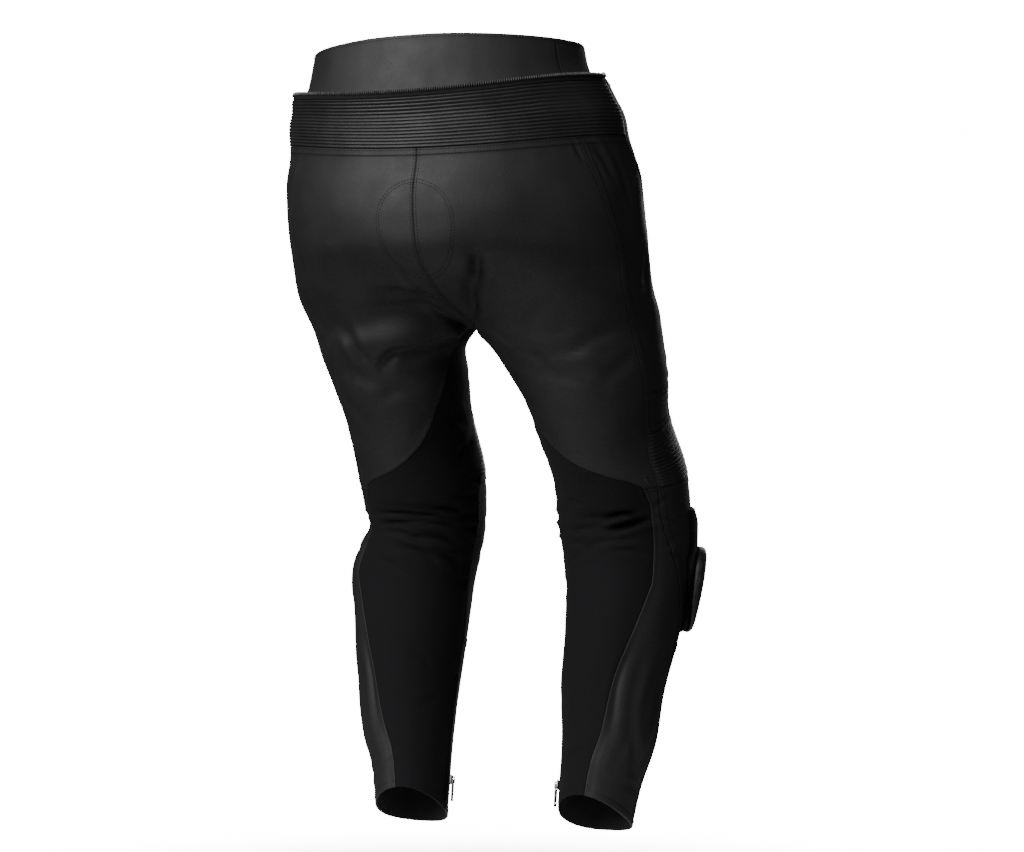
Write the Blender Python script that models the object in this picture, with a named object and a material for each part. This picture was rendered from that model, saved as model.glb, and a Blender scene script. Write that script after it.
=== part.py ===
"""Leather riding trousers in the hollow form they take when worn.

The cloth is a set of cut panels. Every panel is a patch of one form, which is a hip tube that
divides into two bent legs, so neighbouring panels meet along the same seam line. A place on the
form is given by
  side    +1 for the wearer's left leg, -1 for the right leg
  around  degrees round the leg: -90 inseam (centre back above the crotch), 0 back, 90 outer side,
          180 front, 270 inseam again (centre front above the crotch)
  level   height in millimetres; 0 is the belt line, where the wearer's waist holds the garment
The origin is the middle of the waist at the belt line, +Z is up and the front faces -Y.
"""

import math

import bmesh
import bpy
import numpy as np
from mathutils import Matrix, Vector

MM = 0.001

# Driving heights, in millimetres from the belt line
WAIST_TOP = 30.0
SKIRT_TOP = -18.0
ACCORDION_BOTTOM = -80.0
CROTCH = -284.0
HEM = -871.0

# Cloth
LEATHER = 2.0
STRETCH = 1.6
WAISTBAND = 2.6
SEAM_GAP = 0.5

# Hip sections: level, half width, back and front (y), where the widest points lie (y), and
# lean to the wearer's right
HIPS = [
    # level, half_width, back, front, middle, lean
    (30, 163, 112, -112, 0, -2),
    (-18, 176, 119, -120, 0, -1),
    (-46, 197, 120, -128, -4, 4),
    (-87, 204, 116, -138, -12, 6),
    (-130, 211, 117, -147, -24, 4),
    (-170, 212, 117, -154, -34, 4),
    (-210, 212, 107, -160, -46, 5),
    (-255, 209, 78, -166, -62, 6),
    (-300, 210, 30, -173, -78, 6),
]

# Leg sections: the inner edge's distance from the midline, how far forward the centre lies,
# half width and half depth, turn of the long axis, lean to the wearer's right, plane's tilt,
# and how much narrower the left leg falls
LEGS = [
    # level, apart, forward, half_width, half_depth, twist, lean, tilt, slim
    (-200, 0, -38, 112, 114, 10, 4, 0, 2),
    (-243, 0, -52, 111, 108, 12, 5, -2, 4),
    (-284, 0, -76, 110, 93, 14, 6, -5, 6),
    (-315, 25, -88, 99, 89, 16, 4, -9, 15),
    (-350, 37, -104, 89, 86, 15, 12, -14, 12),
    (-405, 47, -135, 78, 85, 5, 16, -18, 7),
    (-465, 49, -163, 79, 82, 0, 25, -12, 4),
    (-530, 52, -181, 79, 79, 0, 22, 0, 7),
    (-595, 63, -175, 72, 76, 0, 22, 10, 0),
    (-655, 66, -159, 67, 71, 0, 23, 14, -2),
    (-715, 68, -143, 61, 64, 0, 21, 15, -1),
    (-775, 72, -126, 55, 57, 0, 24, 16, 0),
    (-830, 72, -111, 47, 50, 0, 26, 16, 0),
    (-885, 72, -95, 42, 46, 0, 28, 16, 0),
]
FORK_START = -200.0   # above this level the two halves are one smooth tube
YOKE_DIP = 18.0       # how far the seams round the back dip at centre back
YOKE_ROLL = 5.0       # how far the joining zip hangs lower at the wearer's left
WAIST_SLOPE = 6.0     # how far the waistband's top edge falls from centre back to the front
SKIRT_FLARE = 10.0    # how far the top edge under the joining zip stands off the waistband
SKIRT_FADE = -46.0
HEM_ARCH = 27.0       # the hem is cut higher at the back
HEM_ARCH_REACH = 120.0

# Seam lines: how far round the leg each one runs at each level
SIDE_BACK_SEAM = [(-80, 22), (-108, 28), (-170, 44), (-220, 54), (-270, 59), (-330, 60),
                  (-400, 60), (-436, 52), (-500, 50), (-530, 54), (-560, 64), (-590, 76), (-640, 92),
                  (-720, 98), (-880, 98)]
SIDE_FRONT_SEAM = [(-10, 90.5), (-80, 90.5), (-131, 110), (-199, 123), (-250, 127), (-405, 128)]
STRETCH_BACK_EDGE = [(-285, -88), (-305, -80), (-345, -66), (-385, -48), (-408, -33),
                     (-422, -18), (-434, -4), (-445, 12), (-454, 27), (-464, 37), (-490, 41),
                     (-545, 43), (-600, 43), (-637, 35), (-675, 27), (-711, 20), (-760, 11),
                     (-810, 5), (-885, 2)]
STRETCH_FRONT_EDGE = [(-285, 262), (-330, 246), (-400, 248), (-452, 262), (-484, 278),
                      (-560, 279), (-640, 272), (-885, 270)]
WAISTBAND_SIDE = (65.0, 105.0)   # the stretch piece at each side, degrees round the waist

# Largest folds: which leg (0 for both), place, direction, half length, half width, depth
FOLDS = [
    # side, around, level, slant, length, width, depth
    (1, -42, -270, -2, 58, 13, -10),
    (1, -8, -298, -4, 42, 13, 6),
    (1, -2, -336, 18, 44, 11, -5),
    (-1, -62, -262, 78, 22, 11, -8),
    (-1, -20, -322, -14, 48, 12, -4),
    (1, -20, -498, 4, 52, 5, -4),
    (1, -24, -512, 8, 48, 5, -4),
    (1, -20, -530, 12, 50, 6, -4),
    (-1, 6, -505, 14, 40, 6, -5),
    (-1, 14, -523, 18, 36, 6, -5),
    (-1, -40, -548, -6, 34, 6, -4),
    (1, 62, -526, 10, 26, 12, -6),
    (1, 60, -585, 0, 26, 34, 6),
    (-1, -84, -552, 0, 26, 9, -5),
    (0, 150, -98, 5, 70, 7, -4),
    (0, 140, -128, 12, 60, 7, -4),
    (0, 185, -250, -28, 60, 9, -5),
    (0, 200, -272, -34, 60, 9, -5),
    (0, 150, -352, 10, 60, 9, -4),
    (0, 165, -700, 16, 40, 7, -3),
    (0, 60, -800, -60, 40, 7, -3),
]
PUFFS = [
    # around, level, half_width, half_height, lift
    (104, -165, 46, 62, 5),      # hip pads
    (-90, -174, 46, 52, 2.5),    # the oval at centre back
    (-90, -160, 95, 58, 4),      # the seat's fullness
]

# Ribbed pieces
PAD, PAD_EDGE = 8.5, 7.0                      # the loop pad the knee slider holds to
PAD_TOP, PAD_BOTTOM = -506.0, -642.0
PAD_SHARES = (0.1, 0.2, 0.3, 0.4)             # columns of the knee shield that it covers
PAD_CORNER = (-540.0, -572.0, 0.9)            # its back edge slants forward between two levels,
                                              # by this share of a column
PUCK = (122.0, -594.0, 38.0, 46.0)            # around, level, half width, half height
LEG_ZIP_TOP = -706.0
FLY_BOTTOM = -162.0
RIB_LIFT = 1.8
BACK_RIBS = 15
KNEE_RIBS = 15
KNEE_RIB_TOP, KNEE_RIB_BOTTOM = -404.0, -468.0
KNEE_BAND_TOP = -360.0
SHIELD_BOTTOM = -668.0

# Rows of points that every panel on a leg shares, so that seams meet point to point
LEG_LEVELS = sorted({*range(-850, -600, 26), *range(-594, -490, 11), *range(-484, -400, 16),
                     *range(-388, -300, 17), CROTCH - 1, CROTCH, -277, *range(-267, -90, 17)})


def smooth(table, level):
    """The columns of a table at each level, on a smooth curve through its rows."""
    rows = np.array(sorted(table), float)
    at, values = rows[:, 0], rows[:, 1:]
    slopes = np.gradient(values, at, axis=0)
    level = np.clip(np.asarray(level, float), at[0], at[-1])
    i = np.clip(np.searchsorted(at, level) - 1, 0, len(at) - 2)
    width = (at[i + 1] - at[i])[..., None]
    t = (level - at[i])[..., None] / width
    return ((2 * t**3 - 3 * t**2 + 1) * values[i] + (t**3 - 2 * t**2 + t) * width * slopes[i]
            + (3 * t**2 - 2 * t**3) * values[i + 1] + (t**3 - t**2) * width * slopes[i + 1])


def seam(line, level):
    """How far round the leg a seam line runs at a level."""
    rows = np.array(sorted(line), float)
    return np.interp(level, rows[:, 0], rows[:, 1])


def ease(t):
    """0 to 1 with a soft start and end."""
    t = np.clip(t, 0.0, 1.0)
    return t * t * (3 - 2 * t)


def bare_form(side, around, level):
    """The form with no folds, in millimetres."""
    turn = np.radians(around)
    legs = smooth(LEGS, level)
    apart, forward, wide, deep, twist, lean, tilt, slim = np.moveaxis(legs, -1, 0)
    wide = wide - slim * np.where(side > 0, 1.0, 0.0)
    twist, tilt = np.radians(twist), np.radians(tilt)
    a, b = wide * np.sin(turn - twist), deep * np.cos(turn - twist)
    reach = np.hypot(wide * np.cos(twist), deep * np.sin(twist))
    leg_x = apart + reach + a * np.cos(twist) + b * np.sin(twist)
    closed = leg_x - apart * (1 - (leg_x - apart) / (2 * reach))
    leg_x = np.where(level > CROTCH, closed, leg_x)
    local_y = -a * np.sin(twist) + b * np.cos(twist)
    arch = HEM_ARCH * ease((HEM_ARCH_REACH - (level - HEM)) / HEM_ARCH_REACH)
    arch = arch * np.cos(turn / 2 + math.radians(5)) ** 4
    leg = np.stack([leg_x, forward + local_y * np.cos(tilt),
                    level + local_y * np.sin(tilt) + arch], -1)

    half_width, back, front, middle, hip_lean = np.moveaxis(smooth(HIPS, level), -1, 0)
    hip_turn = (turn + math.pi / 2) / 2
    depth = np.where(hip_turn < math.pi / 2, back - middle, middle - front)
    dip = YOKE_DIP * np.maximum(np.cos(hip_turn), 0) ** 2
    dip = dip * ease((WAIST_TOP - level) / 40) * ease((level + 200) / 120)
    hip = np.stack([half_width * np.sin(hip_turn), middle + depth * np.cos(hip_turn),
                    level - dip], -1)

    fork = np.clip((FORK_START - level) / (FORK_START - CROTCH), 0, 1)
    inner = ((1 - np.sin(turn)) / 2) ** 4
    share = inner * (1 - np.sqrt(1 - fork**2)) + (1 - inner) * ease(fork)
    share = share[..., None]
    point = (1 - share) * hip + share * leg
    point[..., 0] *= side
    point[..., 0] -= share[..., 0] * lean + (1 - share[..., 0]) * hip_lean
    zip_sag = ease((level + 80) / 70) * (0.5 + 0.5 * ease((20 - level) / 30))
    point[..., 2] -= YOKE_ROLL * zip_sag * side * np.sin(hip_turn)
    round_waist = 1 - np.maximum(np.cos(hip_turn), 0) ** 2
    point[..., 2] -= WAIST_SLOPE * round_waist * ease((level - SKIRT_TOP) / (WAIST_TOP - SKIRT_TOP))
    return point


def bump(side, around, level, place, reach, slant=0.0):
    """A soft patch on the form: 1 at its place and 0 past its reach across and along."""
    around0, level0 = place
    radius = 75.0 + 45.0 * ease((level - CROTCH) / 60)
    x = np.radians(around - around0) * radius
    y = level - level0
    c, s = math.cos(math.radians(slant)), math.sin(math.radians(slant))
    along, across = (x * c + y * s) / reach[0], (y * c - x * s) / reach[1]
    return np.exp(-across**2) * ease(1.35 - np.abs(along))


def lift(side, around, level):
    """How far the cloth stands out from or falls in behind the bare form."""
    total = np.zeros(np.broadcast(around, level).shape)
    for which, a0, l0, slant, length, width, depth in FOLDS:
        hit = np.where(which * side >= 0, 1.0, 0.0)
        total += hit * depth * bump(side, around, level, (a0, l0), (length, width), slant)
    for a0, l0, half_width, half_height, height in PUFFS:
        total += height * ease(1.6 - np.hypot(
            np.radians(around - a0) * 100 / half_width, (level - l0) / half_height))
    return total


def form(side, around, level, out=0.0, flare=0.0):
    """Points on the cloth's outer face, moved out square to it, and outward on the level."""
    side, around, level = np.broadcast_arrays(
        np.asarray(side, float), np.asarray(around, float), np.asarray(level, float))
    step = 0.5

    def face(a, v):
        normal = np.cross(bare_form(side, a + step, v) - bare_form(side, a - step, v),
                          bare_form(side, a, v + step) - bare_form(side, a, v - step))
        normal = normal * -side[..., None]
        normal /= np.linalg.norm(normal, axis=-1, keepdims=True)
        return bare_form(side, a, v) + normal * lift(side, a, v)[..., None]

    normal = np.cross(face(around + step, level) - face(around - step, level),
                      face(around, level + step) - face(around, level - step))
    normal = normal * -side[..., None]
    normal /= np.linalg.norm(normal, axis=-1, keepdims=True)
    flat = normal * np.array([1.0, 1.0, 0.0])
    flat /= np.linalg.norm(flat, axis=-1, keepdims=True)
    out = np.broadcast_to(np.asarray(out, float), around.shape)
    flare = np.broadcast_to(np.asarray(flare, float), around.shape)
    return face(around, level) + normal * out[..., None] + flat * flare[..., None]


def material(name, colour, roughness, metallic=0.0):
    made = bpy.data.materials.get(name) or bpy.data.materials.new(name)
    made.use_nodes = True
    shader = made.node_tree.nodes["Principled BSDF"]
    shader.inputs["Base Color"].default_value = (*colour, 1.0)
    shader.inputs["Roughness"].default_value = roughness
    shader.inputs["Metallic"].default_value = metallic
    return made


def add(name, mesh, finish):
    made = bpy.data.objects.new(name, mesh)
    mesh.materials.append(finish)
    bpy.data.collections["riding_trousers"].objects.link(made)
    return made


def cloth(name, outer, inner, finish, plain_inside=False):
    """A wall between two grids of points: a grid that is laid on the outer points, then extruded
    to the inner ones. plain_inside joins the inner face's rows into one."""
    rows, columns = outer.shape[:2]
    outer, inner = outer.reshape(-1, 3) * MM, inner.reshape(-1, 3) * MM
    bm = bmesh.new()
    bmesh.ops.create_grid(bm, x_segments=columns - 1, y_segments=rows - 1, size=1)
    spot = bm.verts.layers.int.new("spot")
    for i, vert in enumerate(bm.verts):
        vert[spot] = i
        vert.co = outer[i]
    made = bmesh.ops.extrude_face_region(bm, geom=bm.faces[:])["geom"]
    inside = {g for g in made if isinstance(g, bmesh.types.BMVert)}
    for vert in inside:
        vert.co = inner[vert[spot]]
    if plain_inside:
        last = (rows - 1) * columns
        across = [e for e in bm.edges
                  if e.verts[0] in inside and e.verts[1] in inside
                  and abs(e.verts[0][spot] - e.verts[1][spot]) == 1
                  and columns <= min(v[spot] for v in e.verts)
                  and max(v[spot] for v in e.verts) < last]
        bmesh.ops.dissolve_edges(bm, edges=across, use_verts=True)
    bmesh.ops.recalc_face_normals(bm, faces=bm.faces[:])
    mesh = bpy.data.meshes.new(name)
    bm.to_mesh(mesh)
    bm.free()
    mesh.shade_smooth()
    mesh.set_sharp_from_angle(angle=math.radians(50))
    return add(name, mesh, finish)


def rows_between(top, bottom, levels=None):
    """The shared rows between two edges, and the edges themselves, half a seam gap inside."""
    inside = [v for v in (levels or LEG_LEVELS) if bottom + 3 < v < top - 3]
    return np.array([top - SEAM_GAP / 2, *sorted(inside, reverse=True), bottom + SEAM_GAP / 2])


def seam_inset(line, side, level):
    """Degrees that stand for half a seam gap, measured square to the seam."""
    around = seam(line, level)
    radius = np.linalg.norm(bare_form(side, around + 1, level) - bare_form(side, around, level),
                            axis=-1) * 180 / math.pi
    slope = np.radians(seam(line, level - 2) - seam(line, level + 2)) * radius / 4
    return np.degrees(SEAM_GAP / 2 * np.sqrt(1 + slope**2) / radius)


def leg_panel(name, side, top, bottom, back_line, front_line, columns, finish,
              thickness=LEATHER, levels=None, relief=None, plain_inside=False, flare=False):
    """A panel between two seam lines; around grows from back_line to front_line."""
    level = rows_between(top, bottom, levels)
    first = seam(back_line, level) + seam_inset(back_line, side, level)
    last = seam(front_line, level) - seam_inset(front_line, side, level)
    t = np.linspace(0, 1, columns + 1)
    around = first[:, None] + (last - first)[:, None] * t
    level = np.broadcast_to(level[:, None], around.shape)
    stand_off = skirt(around, level) if flare else 0.0
    raised = relief(t[None, :], level) if relief else 0.0
    outer = form(side, around, level, raised, stand_off)
    inner = form(side, around, level, -thickness, stand_off)
    return cloth(name, outer, inner, finish, plain_inside)


def back_piece(name, limit, level, columns, finish, outside, inside, plain_inside=False,
               flare=lambda around, level: 0.0):
    """A piece that crosses centre back, from one side of the waist to the other."""
    hip = np.linspace(-limit, limit, columns + 1)
    side = np.broadcast_to(np.where(hip < 0, -1.0, 1.0), (len(level), columns + 1))
    around = np.broadcast_to(2 * np.abs(hip) - 90, side.shape)
    level = np.broadcast_to(level[:, None], side.shape)
    stand_off = flare(around, level)
    return cloth(name, form(side, around, level, outside(around, level), stand_off),
                 form(side, around, level, inside(around, level), stand_off), finish,
                 plain_inside)


def skirt(around, level):
    """How far the cloth under the joining zip stands off, over the back and sides."""
    reach = ease((250 - around) / 130)
    return SKIRT_FLARE * reach * ease((level - SKIRT_FADE) / (SKIRT_TOP - SKIRT_FADE))


def ribs(count, top, bottom):
    """Height of rounded ribs that run level between two edges."""
    def height(share, level):
        phase = np.clip((top - level) / (top - bottom), 0, 1) * count
        ends = np.minimum(np.minimum(share, 1 - share) * 14, 1)
        return RIB_LIFT * (1 - np.abs(2 * (phase % 1.0) - 1)) * ends
    return height


def rib_rows(count, top, bottom):
    """Two rows a rib, at its crest and in the groove."""
    return [top - (top - bottom) * i / (2 * count) for i in range(1, 2 * count)]


def disc(name, side, around, level, half_width, half_height, base, profile, finish, sectors=20,
         taper=0.0):
    """A rounded slab lying on the form. profile lists (share of the outline, height), and
    taper thins the slab towards its lower end."""
    turn = np.linspace(0, 2 * math.pi, sectors, endpoint=False)
    c, s = np.cos(turn), np.sin(turn)
    reach = 1 / (np.abs(c) ** 2.6 + np.abs(s) ** 2.6) ** (1 / 2.6)
    radius = np.linalg.norm(bare_form(side, around + 1, level)
                            - bare_form(side, around - 1, level)) * 90 / math.pi
    wide = math.degrees(half_width / radius)

    def ring(share, out):
        rise = 1 + taper * share * reach * s - taper / 2
        narrow = 1 + 0.5 * taper * reach * s
        return form(side, around + wide * share * reach * c * narrow,
                    level + half_height * share * reach * s, base + (out - base) * rise)

    under = [ring(share, base) for share in (0.35, 0.7, 1.0)]
    rings = [*under, *[ring(share, out) for share, out in profile]]
    bm = bmesh.new()
    verts = [[bm.verts.new(point * MM) for point in points] for points in rings]
    for lower, upper in zip(verts, verts[1:]):
        for i in range(sectors):
            j = (i + 1) % sectors
            bm.faces.new((lower[i], lower[j], upper[j], upper[i]))
    crown = base + (profile[-1][1] - base) * (1 - taper / 2)
    for points, out in ((verts[0], base), (verts[-1], crown)):
        middle = bm.verts.new(form(side, around, level, out) * MM)
        for i in range(sectors):
            bm.faces.new((points[i], points[(i + 1) % sectors], middle))
    bmesh.ops.recalc_face_normals(bm, faces=bm.faces[:])
    mesh = bpy.data.meshes.new(name)
    bm.to_mesh(mesh)
    bm.free()
    mesh.shade_smooth()
    mesh.set_sharp_from_angle(angle=math.radians(40))
    return add(name, mesh, finish)


def strip(name, side, around, top, bottom, half_width, count, finish):
    """A zip's closed tapes and teeth, lying along a seam on a leg."""
    level = np.linspace(top, bottom, count)[:, None]
    radius = np.linalg.norm(bare_form(side, around + 1, level)
                            - bare_form(side, around - 1, level), axis=-1) * 90 / math.pi
    across = np.array([-1.0, -0.3, 0.3, 1.0])
    place = around + np.degrees(half_width / radius) * across
    raised = np.array([1.5, 3.2, 3.2, 1.5])
    return cloth(name, form(side, place, level, raised), form(side, place, level, 0.4), finish)


def blocks(name, xs, ys, zs, filled, frame, finish, origin=(0, 0, 0)):
    """One closed body from the filled cells of a small grid, placed by a frame."""
    bm = bmesh.new()
    made = {}

    def vert(i, j, k):
        if (i, j, k) not in made:
            spot = Vector((xs[i] - origin[0], ys[j] - origin[1], zs[k] - origin[2])) * MM
            made[i, j, k] = bm.verts.new(frame.to_3x3() @ spot)
        return made[i, j, k]

    walls = {(1, 0, 0): ((1, 0, 0), (1, 1, 0), (1, 1, 1), (1, 0, 1)),
             (-1, 0, 0): ((0, 0, 0), (0, 0, 1), (0, 1, 1), (0, 1, 0)),
             (0, 1, 0): ((0, 1, 0), (0, 1, 1), (1, 1, 1), (1, 1, 0)),
             (0, -1, 0): ((0, 0, 0), (1, 0, 0), (1, 0, 1), (0, 0, 1)),
             (0, 0, 1): ((0, 0, 1), (1, 0, 1), (1, 1, 1), (0, 1, 1)),
             (0, 0, -1): ((0, 0, 0), (0, 1, 0), (1, 1, 0), (1, 0, 0))}
    for cell in filled:
        for step, corners in walls.items():
            if tuple(a + b for a, b in zip(cell, step)) not in filled:
                bm.faces.new([vert(*(a + b for a, b in zip(cell, corner)))
                              for corner in corners])
    bmesh.ops.dissolve_limit(bm, angle_limit=0.01, verts=bm.verts[:], edges=bm.edges[:])
    bmesh.ops.recalc_face_normals(bm, faces=bm.faces[:])
    mesh = bpy.data.meshes.new(name)
    bm.to_mesh(mesh)
    bm.free()
    body = add(name, mesh, finish)
    body.location = frame @ (Vector(origin) * MM)
    return body


def puller(stem, hand, side, around, level, finish):
    """A zip slider with a bridge, and the pull tab whose top bar turns under the bridge."""
    here = form(side, around, level, 3.6)
    out = form(side, around, level, 4.6) - here
    down = form(side, around, level - 2, 3.6) - here
    down -= out * np.dot(down, out) / np.dot(out, out)
    z, y = Vector(out).normalized(), -Vector(down).normalized()
    x = y.cross(z)
    frame = Matrix.Translation(Vector(here) * MM) @ Matrix((x, y, z)).transposed().to_4x4()
    filled = {(i, j, 0) for i in range(3) for j in range(5)}
    filled |= {(1, 1, 1), (1, 3, 1), (1, 1, 2), (1, 2, 2), (1, 3, 2)}
    blocks(f"{stem}_slider_{hand}", (-4, -1, 1, 4), (-5.5, -4, -2.4, 2.4, 4, 5.5),
           (0, 2.2, 4.6, 5.8), filled, frame, finish)
    filled = {(i, j, 0) for i in range(3) for j in range(3)} - {(1, 1, 0)}
    blocks(f"{stem}_tab_{hand}", (-3.6, -1.7, 1.7, 3.6), (-26, -6, -0.7, 0.7), (2.7, 4.1),
           filled, frame, finish, origin=(0, 0, 3.4))


def make_waist(leather, stretch, ribbed, zip_cloth):
    def at(offset):
        return lambda around, level: np.full(np.shape(around), offset)

    outside, inside = at(-LEATHER - 1.0), at(-LEATHER - 1.0 - WAISTBAND)
    rows = np.array([WAIST_TOP, 12, -8, -24, -33])
    inset = 0.15
    back_piece("waistband_back", WAISTBAND_SIDE[0] - inset, rows, 20, leather, outside, inside)
    for side, hand in ((1, "left"), (-1, "right")):
        edges = [2 * x - 90 for x in WAISTBAND_SIDE]
        pieces = (("waistband_side_", edges[0], edges[1], 5, stretch),
                  ("waistband_front_", edges[1], 270, 9, leather))
        for stem, start, end, columns, finish in pieces:
            around = np.linspace(start + inset, end - inset, columns + 1)[None, :]
            level = rows[:, None]
            cloth(stem + hand, form(side, around, level, outside(around + 0 * level, level)),
                  form(side, around, level, inside(around + 0 * level, level)), finish)

    rib_levels = np.array([SKIRT_TOP - 6, *rib_rows(BACK_RIBS, SKIRT_TOP - 6, ACCORDION_BOTTOM),
                           ACCORDION_BOTTOM + SEAM_GAP / 2])
    rib_height = ribs(BACK_RIBS, SKIRT_TOP - 6, ACCORDION_BOTTOM)
    back_piece("back_accordion", 89.8, rib_levels, 24, ribbed,
               lambda a, v: rib_height(0.5, v), lambda a, v: 0 * a - LEATHER,
               plain_inside=True, flare=skirt)

    zip_levels = np.array([SKIRT_TOP + 2.5, SKIRT_TOP + 0.5, SKIRT_TOP - 2.5,
                           SKIRT_TOP - 6 + SEAM_GAP])
    coil = np.array([0.3, 2.6, 2.6, 0.6])[:, None]
    back_piece("joining_zip", 89.8, zip_levels, 24, zip_cloth,
               lambda a, v: coil + 0 * a, lambda a, v: 0 * a - 1.6, flare=skirt)


def make_leg(side, hand, leather, stretch, ribbed, pad, rubber, zip_cloth, metal):
    middle_back, middle_front = [(0, -90)], [(0, 270)]
    centre_to_stretch = [*[(v, -90) for v in (0, CROTCH)], *STRETCH_BACK_EDGE]
    stretch_to_centre = [*[(v, 270) for v in (0, CROTCH)], *STRETCH_FRONT_EDGE]
    seat_bottom = KNEE_RIB_BOTTOM
    leg_panel("seat_" + hand, side, ACCORDION_BOTTOM, seat_bottom, centre_to_stretch,
              SIDE_BACK_SEAM, 10, leather)
    leg_panel("thigh_side_" + hand, side, ACCORDION_BOTTOM, KNEE_BAND_TOP, SIDE_BACK_SEAM,
              SIDE_FRONT_SEAM, 6, leather)
    leg_panel("front_" + hand, side, SKIRT_TOP, KNEE_RIB_TOP, SIDE_FRONT_SEAM,
              stretch_to_centre, 9, leather, flare=True,
              levels=[*LEG_LEVELS, ACCORDION_BOTTOM, -25, -40, -55])
    leg_panel("knee_band_" + hand, side, KNEE_BAND_TOP, KNEE_RIB_TOP, SIDE_BACK_SEAM,
              SIDE_FRONT_SEAM, 6, leather)
    leg_panel("knee_accordion_" + hand, side, KNEE_RIB_TOP, KNEE_RIB_BOTTOM, SIDE_BACK_SEAM,
              stretch_to_centre, 12, ribbed,
              levels=rib_rows(KNEE_RIBS, KNEE_RIB_TOP, KNEE_RIB_BOTTOM),
              relief=ribs(KNEE_RIBS, KNEE_RIB_TOP, KNEE_RIB_BOTTOM), plain_inside=True)
    leg_panel("knee_shield_" + hand, side, KNEE_RIB_BOTTOM, SHIELD_BOTTOM, SIDE_BACK_SEAM,
              stretch_to_centre, 10, leather)
    leg_panel("shin_" + hand, side, SHIELD_BOTTOM, HEM, SIDE_BACK_SEAM, stretch_to_centre, 8,
              leather)
    leg_panel("calf_" + hand, side, seat_bottom, HEM, STRETCH_BACK_EDGE, SIDE_BACK_SEAM, 4,
              leather)
    whole_turn = [(v, a - 360) for v, a in stretch_to_centre]
    leg_panel("stretch_" + hand, side, CROTCH - 3, HEM, whole_turn, STRETCH_BACK_EDGE, 7,
              stretch, thickness=STRETCH)

    level = np.array([v for v in sorted(LEG_LEVELS, reverse=True)
                      if PAD_BOTTOM - 1 < v < PAD_TOP + 1])[:, None]
    first = seam(SIDE_BACK_SEAM, level) + seam_inset(SIDE_BACK_SEAM, side, level)
    last = seam(stretch_to_centre, level) - seam_inset(stretch_to_centre, side, level)
    shares = np.array(PAD_SHARES) + 0 * level
    upper, lower, step = PAD_CORNER
    high = ease((level[:, 0] - lower) / (upper - lower))
    shares[:, 0] += step * high * (PAD_SHARES[1] - PAD_SHARES[0])
    around = first + (last - first) * shares
    raised = np.full(around.shape, PAD)
    raised[[0, -1]] = raised[:, [0, -1]] = PAD_EDGE
    cloth("knee_pad_" + hand, form(side, around, level, raised),
          form(side, around, level, SEAM_GAP), pad)
    around, level, half_width, half_height = PUCK
    disc("knee_slider_" + hand, side, around, level, half_width, half_height,
         PAD + 0.9, [(1.0, 13.0), (0.94, 17.5), (0.8, 19.3), (0.4, 20.0)], rubber, taper=0.28)
    strip("leg_zip_" + hand, side, 269.6, LEG_ZIP_TOP, HEM + 6, 5.0, 9, zip_cloth)
    puller("leg_zip", hand, side, 269.6, HEM + 36, metal)


def make_fly(leather, zip_cloth, metal):
    """The fly zip at centre front, and the tab that closes the waistband over it."""
    both = np.array([-1.0, -1.0, 1.0, 1.0])
    spread = np.array([4.5, 1.6, 1.6, 4.5])
    level = np.array([SKIRT_TOP - 3, -30, -48, -66, -84, -103, -122, -141, FLY_BOTTOM])[:, None]
    around = 270 - np.broadcast_to(spread, (len(level), 4))
    lift_out = np.array([1.4, 3.0, 3.0, 1.4])
    cloth("fly_zip", form(both, around, level, lift_out), form(both, around, level, 0.4),
          zip_cloth)
    puller("fly", "centre", 1, 270.0, -34.0, metal)
    hip = np.array([-10.0, -7.5, -5, -2.5, 0.1, 2.5, 5, 7.5, 10])
    level = np.array([WAIST_TOP - 3, 14, SKIRT_TOP + 4])[:, None]
    around = 270 - 2 * np.abs(hip) + 0 * level
    out = -LEATHER - 1.0 + SEAM_GAP
    cloth("waist_tab", form(np.sign(hip), around, level, out + LEATHER),
          form(np.sign(hip), around, level, out), leather)
    disc("waist_snap", 1, 270.0 - 0.01, 12.0, 7.5, 7.5, out + LEATHER + SEAM_GAP,
         [(1.0, out + 4.0), (0.6, out + 5.2)], metal, sectors=16)


def main():
    for old in list(bpy.data.objects):
        bpy.data.objects.remove(old)
    home = bpy.data.collections.new("riding_trousers")
    bpy.context.scene.collection.children.link(home)
    leather = material("black_leather", (0.018, 0.018, 0.019), 0.48)
    ribbed = material("ribbed_leather", (0.02, 0.02, 0.021), 0.5)
    stretch = material("stretch_cloth", (0.012, 0.011, 0.013), 0.85)
    elastic = material("elastic", (0.01, 0.01, 0.01), 0.9)
    zip_cloth = material("zip_tape", (0.015, 0.015, 0.015), 0.6)
    pad = material("loop_pad", (0.01, 0.01, 0.01), 0.95)
    rubber = material("slider_plastic", (0.02, 0.02, 0.02), 0.55)
    metal = material("dark_metal", (0.12, 0.12, 0.12), 0.35, 1.0)
    make_waist(leather, elastic, ribbed, zip_cloth)
    make_fly(leather, zip_cloth, metal)
    for side, hand in ((1, "left"), (-1, "right")):
        make_leg(side, hand, leather, stretch, ribbed, pad, rubber, zip_cloth, metal)


if __name__ == "__main__":
    main()
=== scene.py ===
import math

import bmesh
import bpy
import numpy as np
from mathutils import Matrix, Vector


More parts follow.
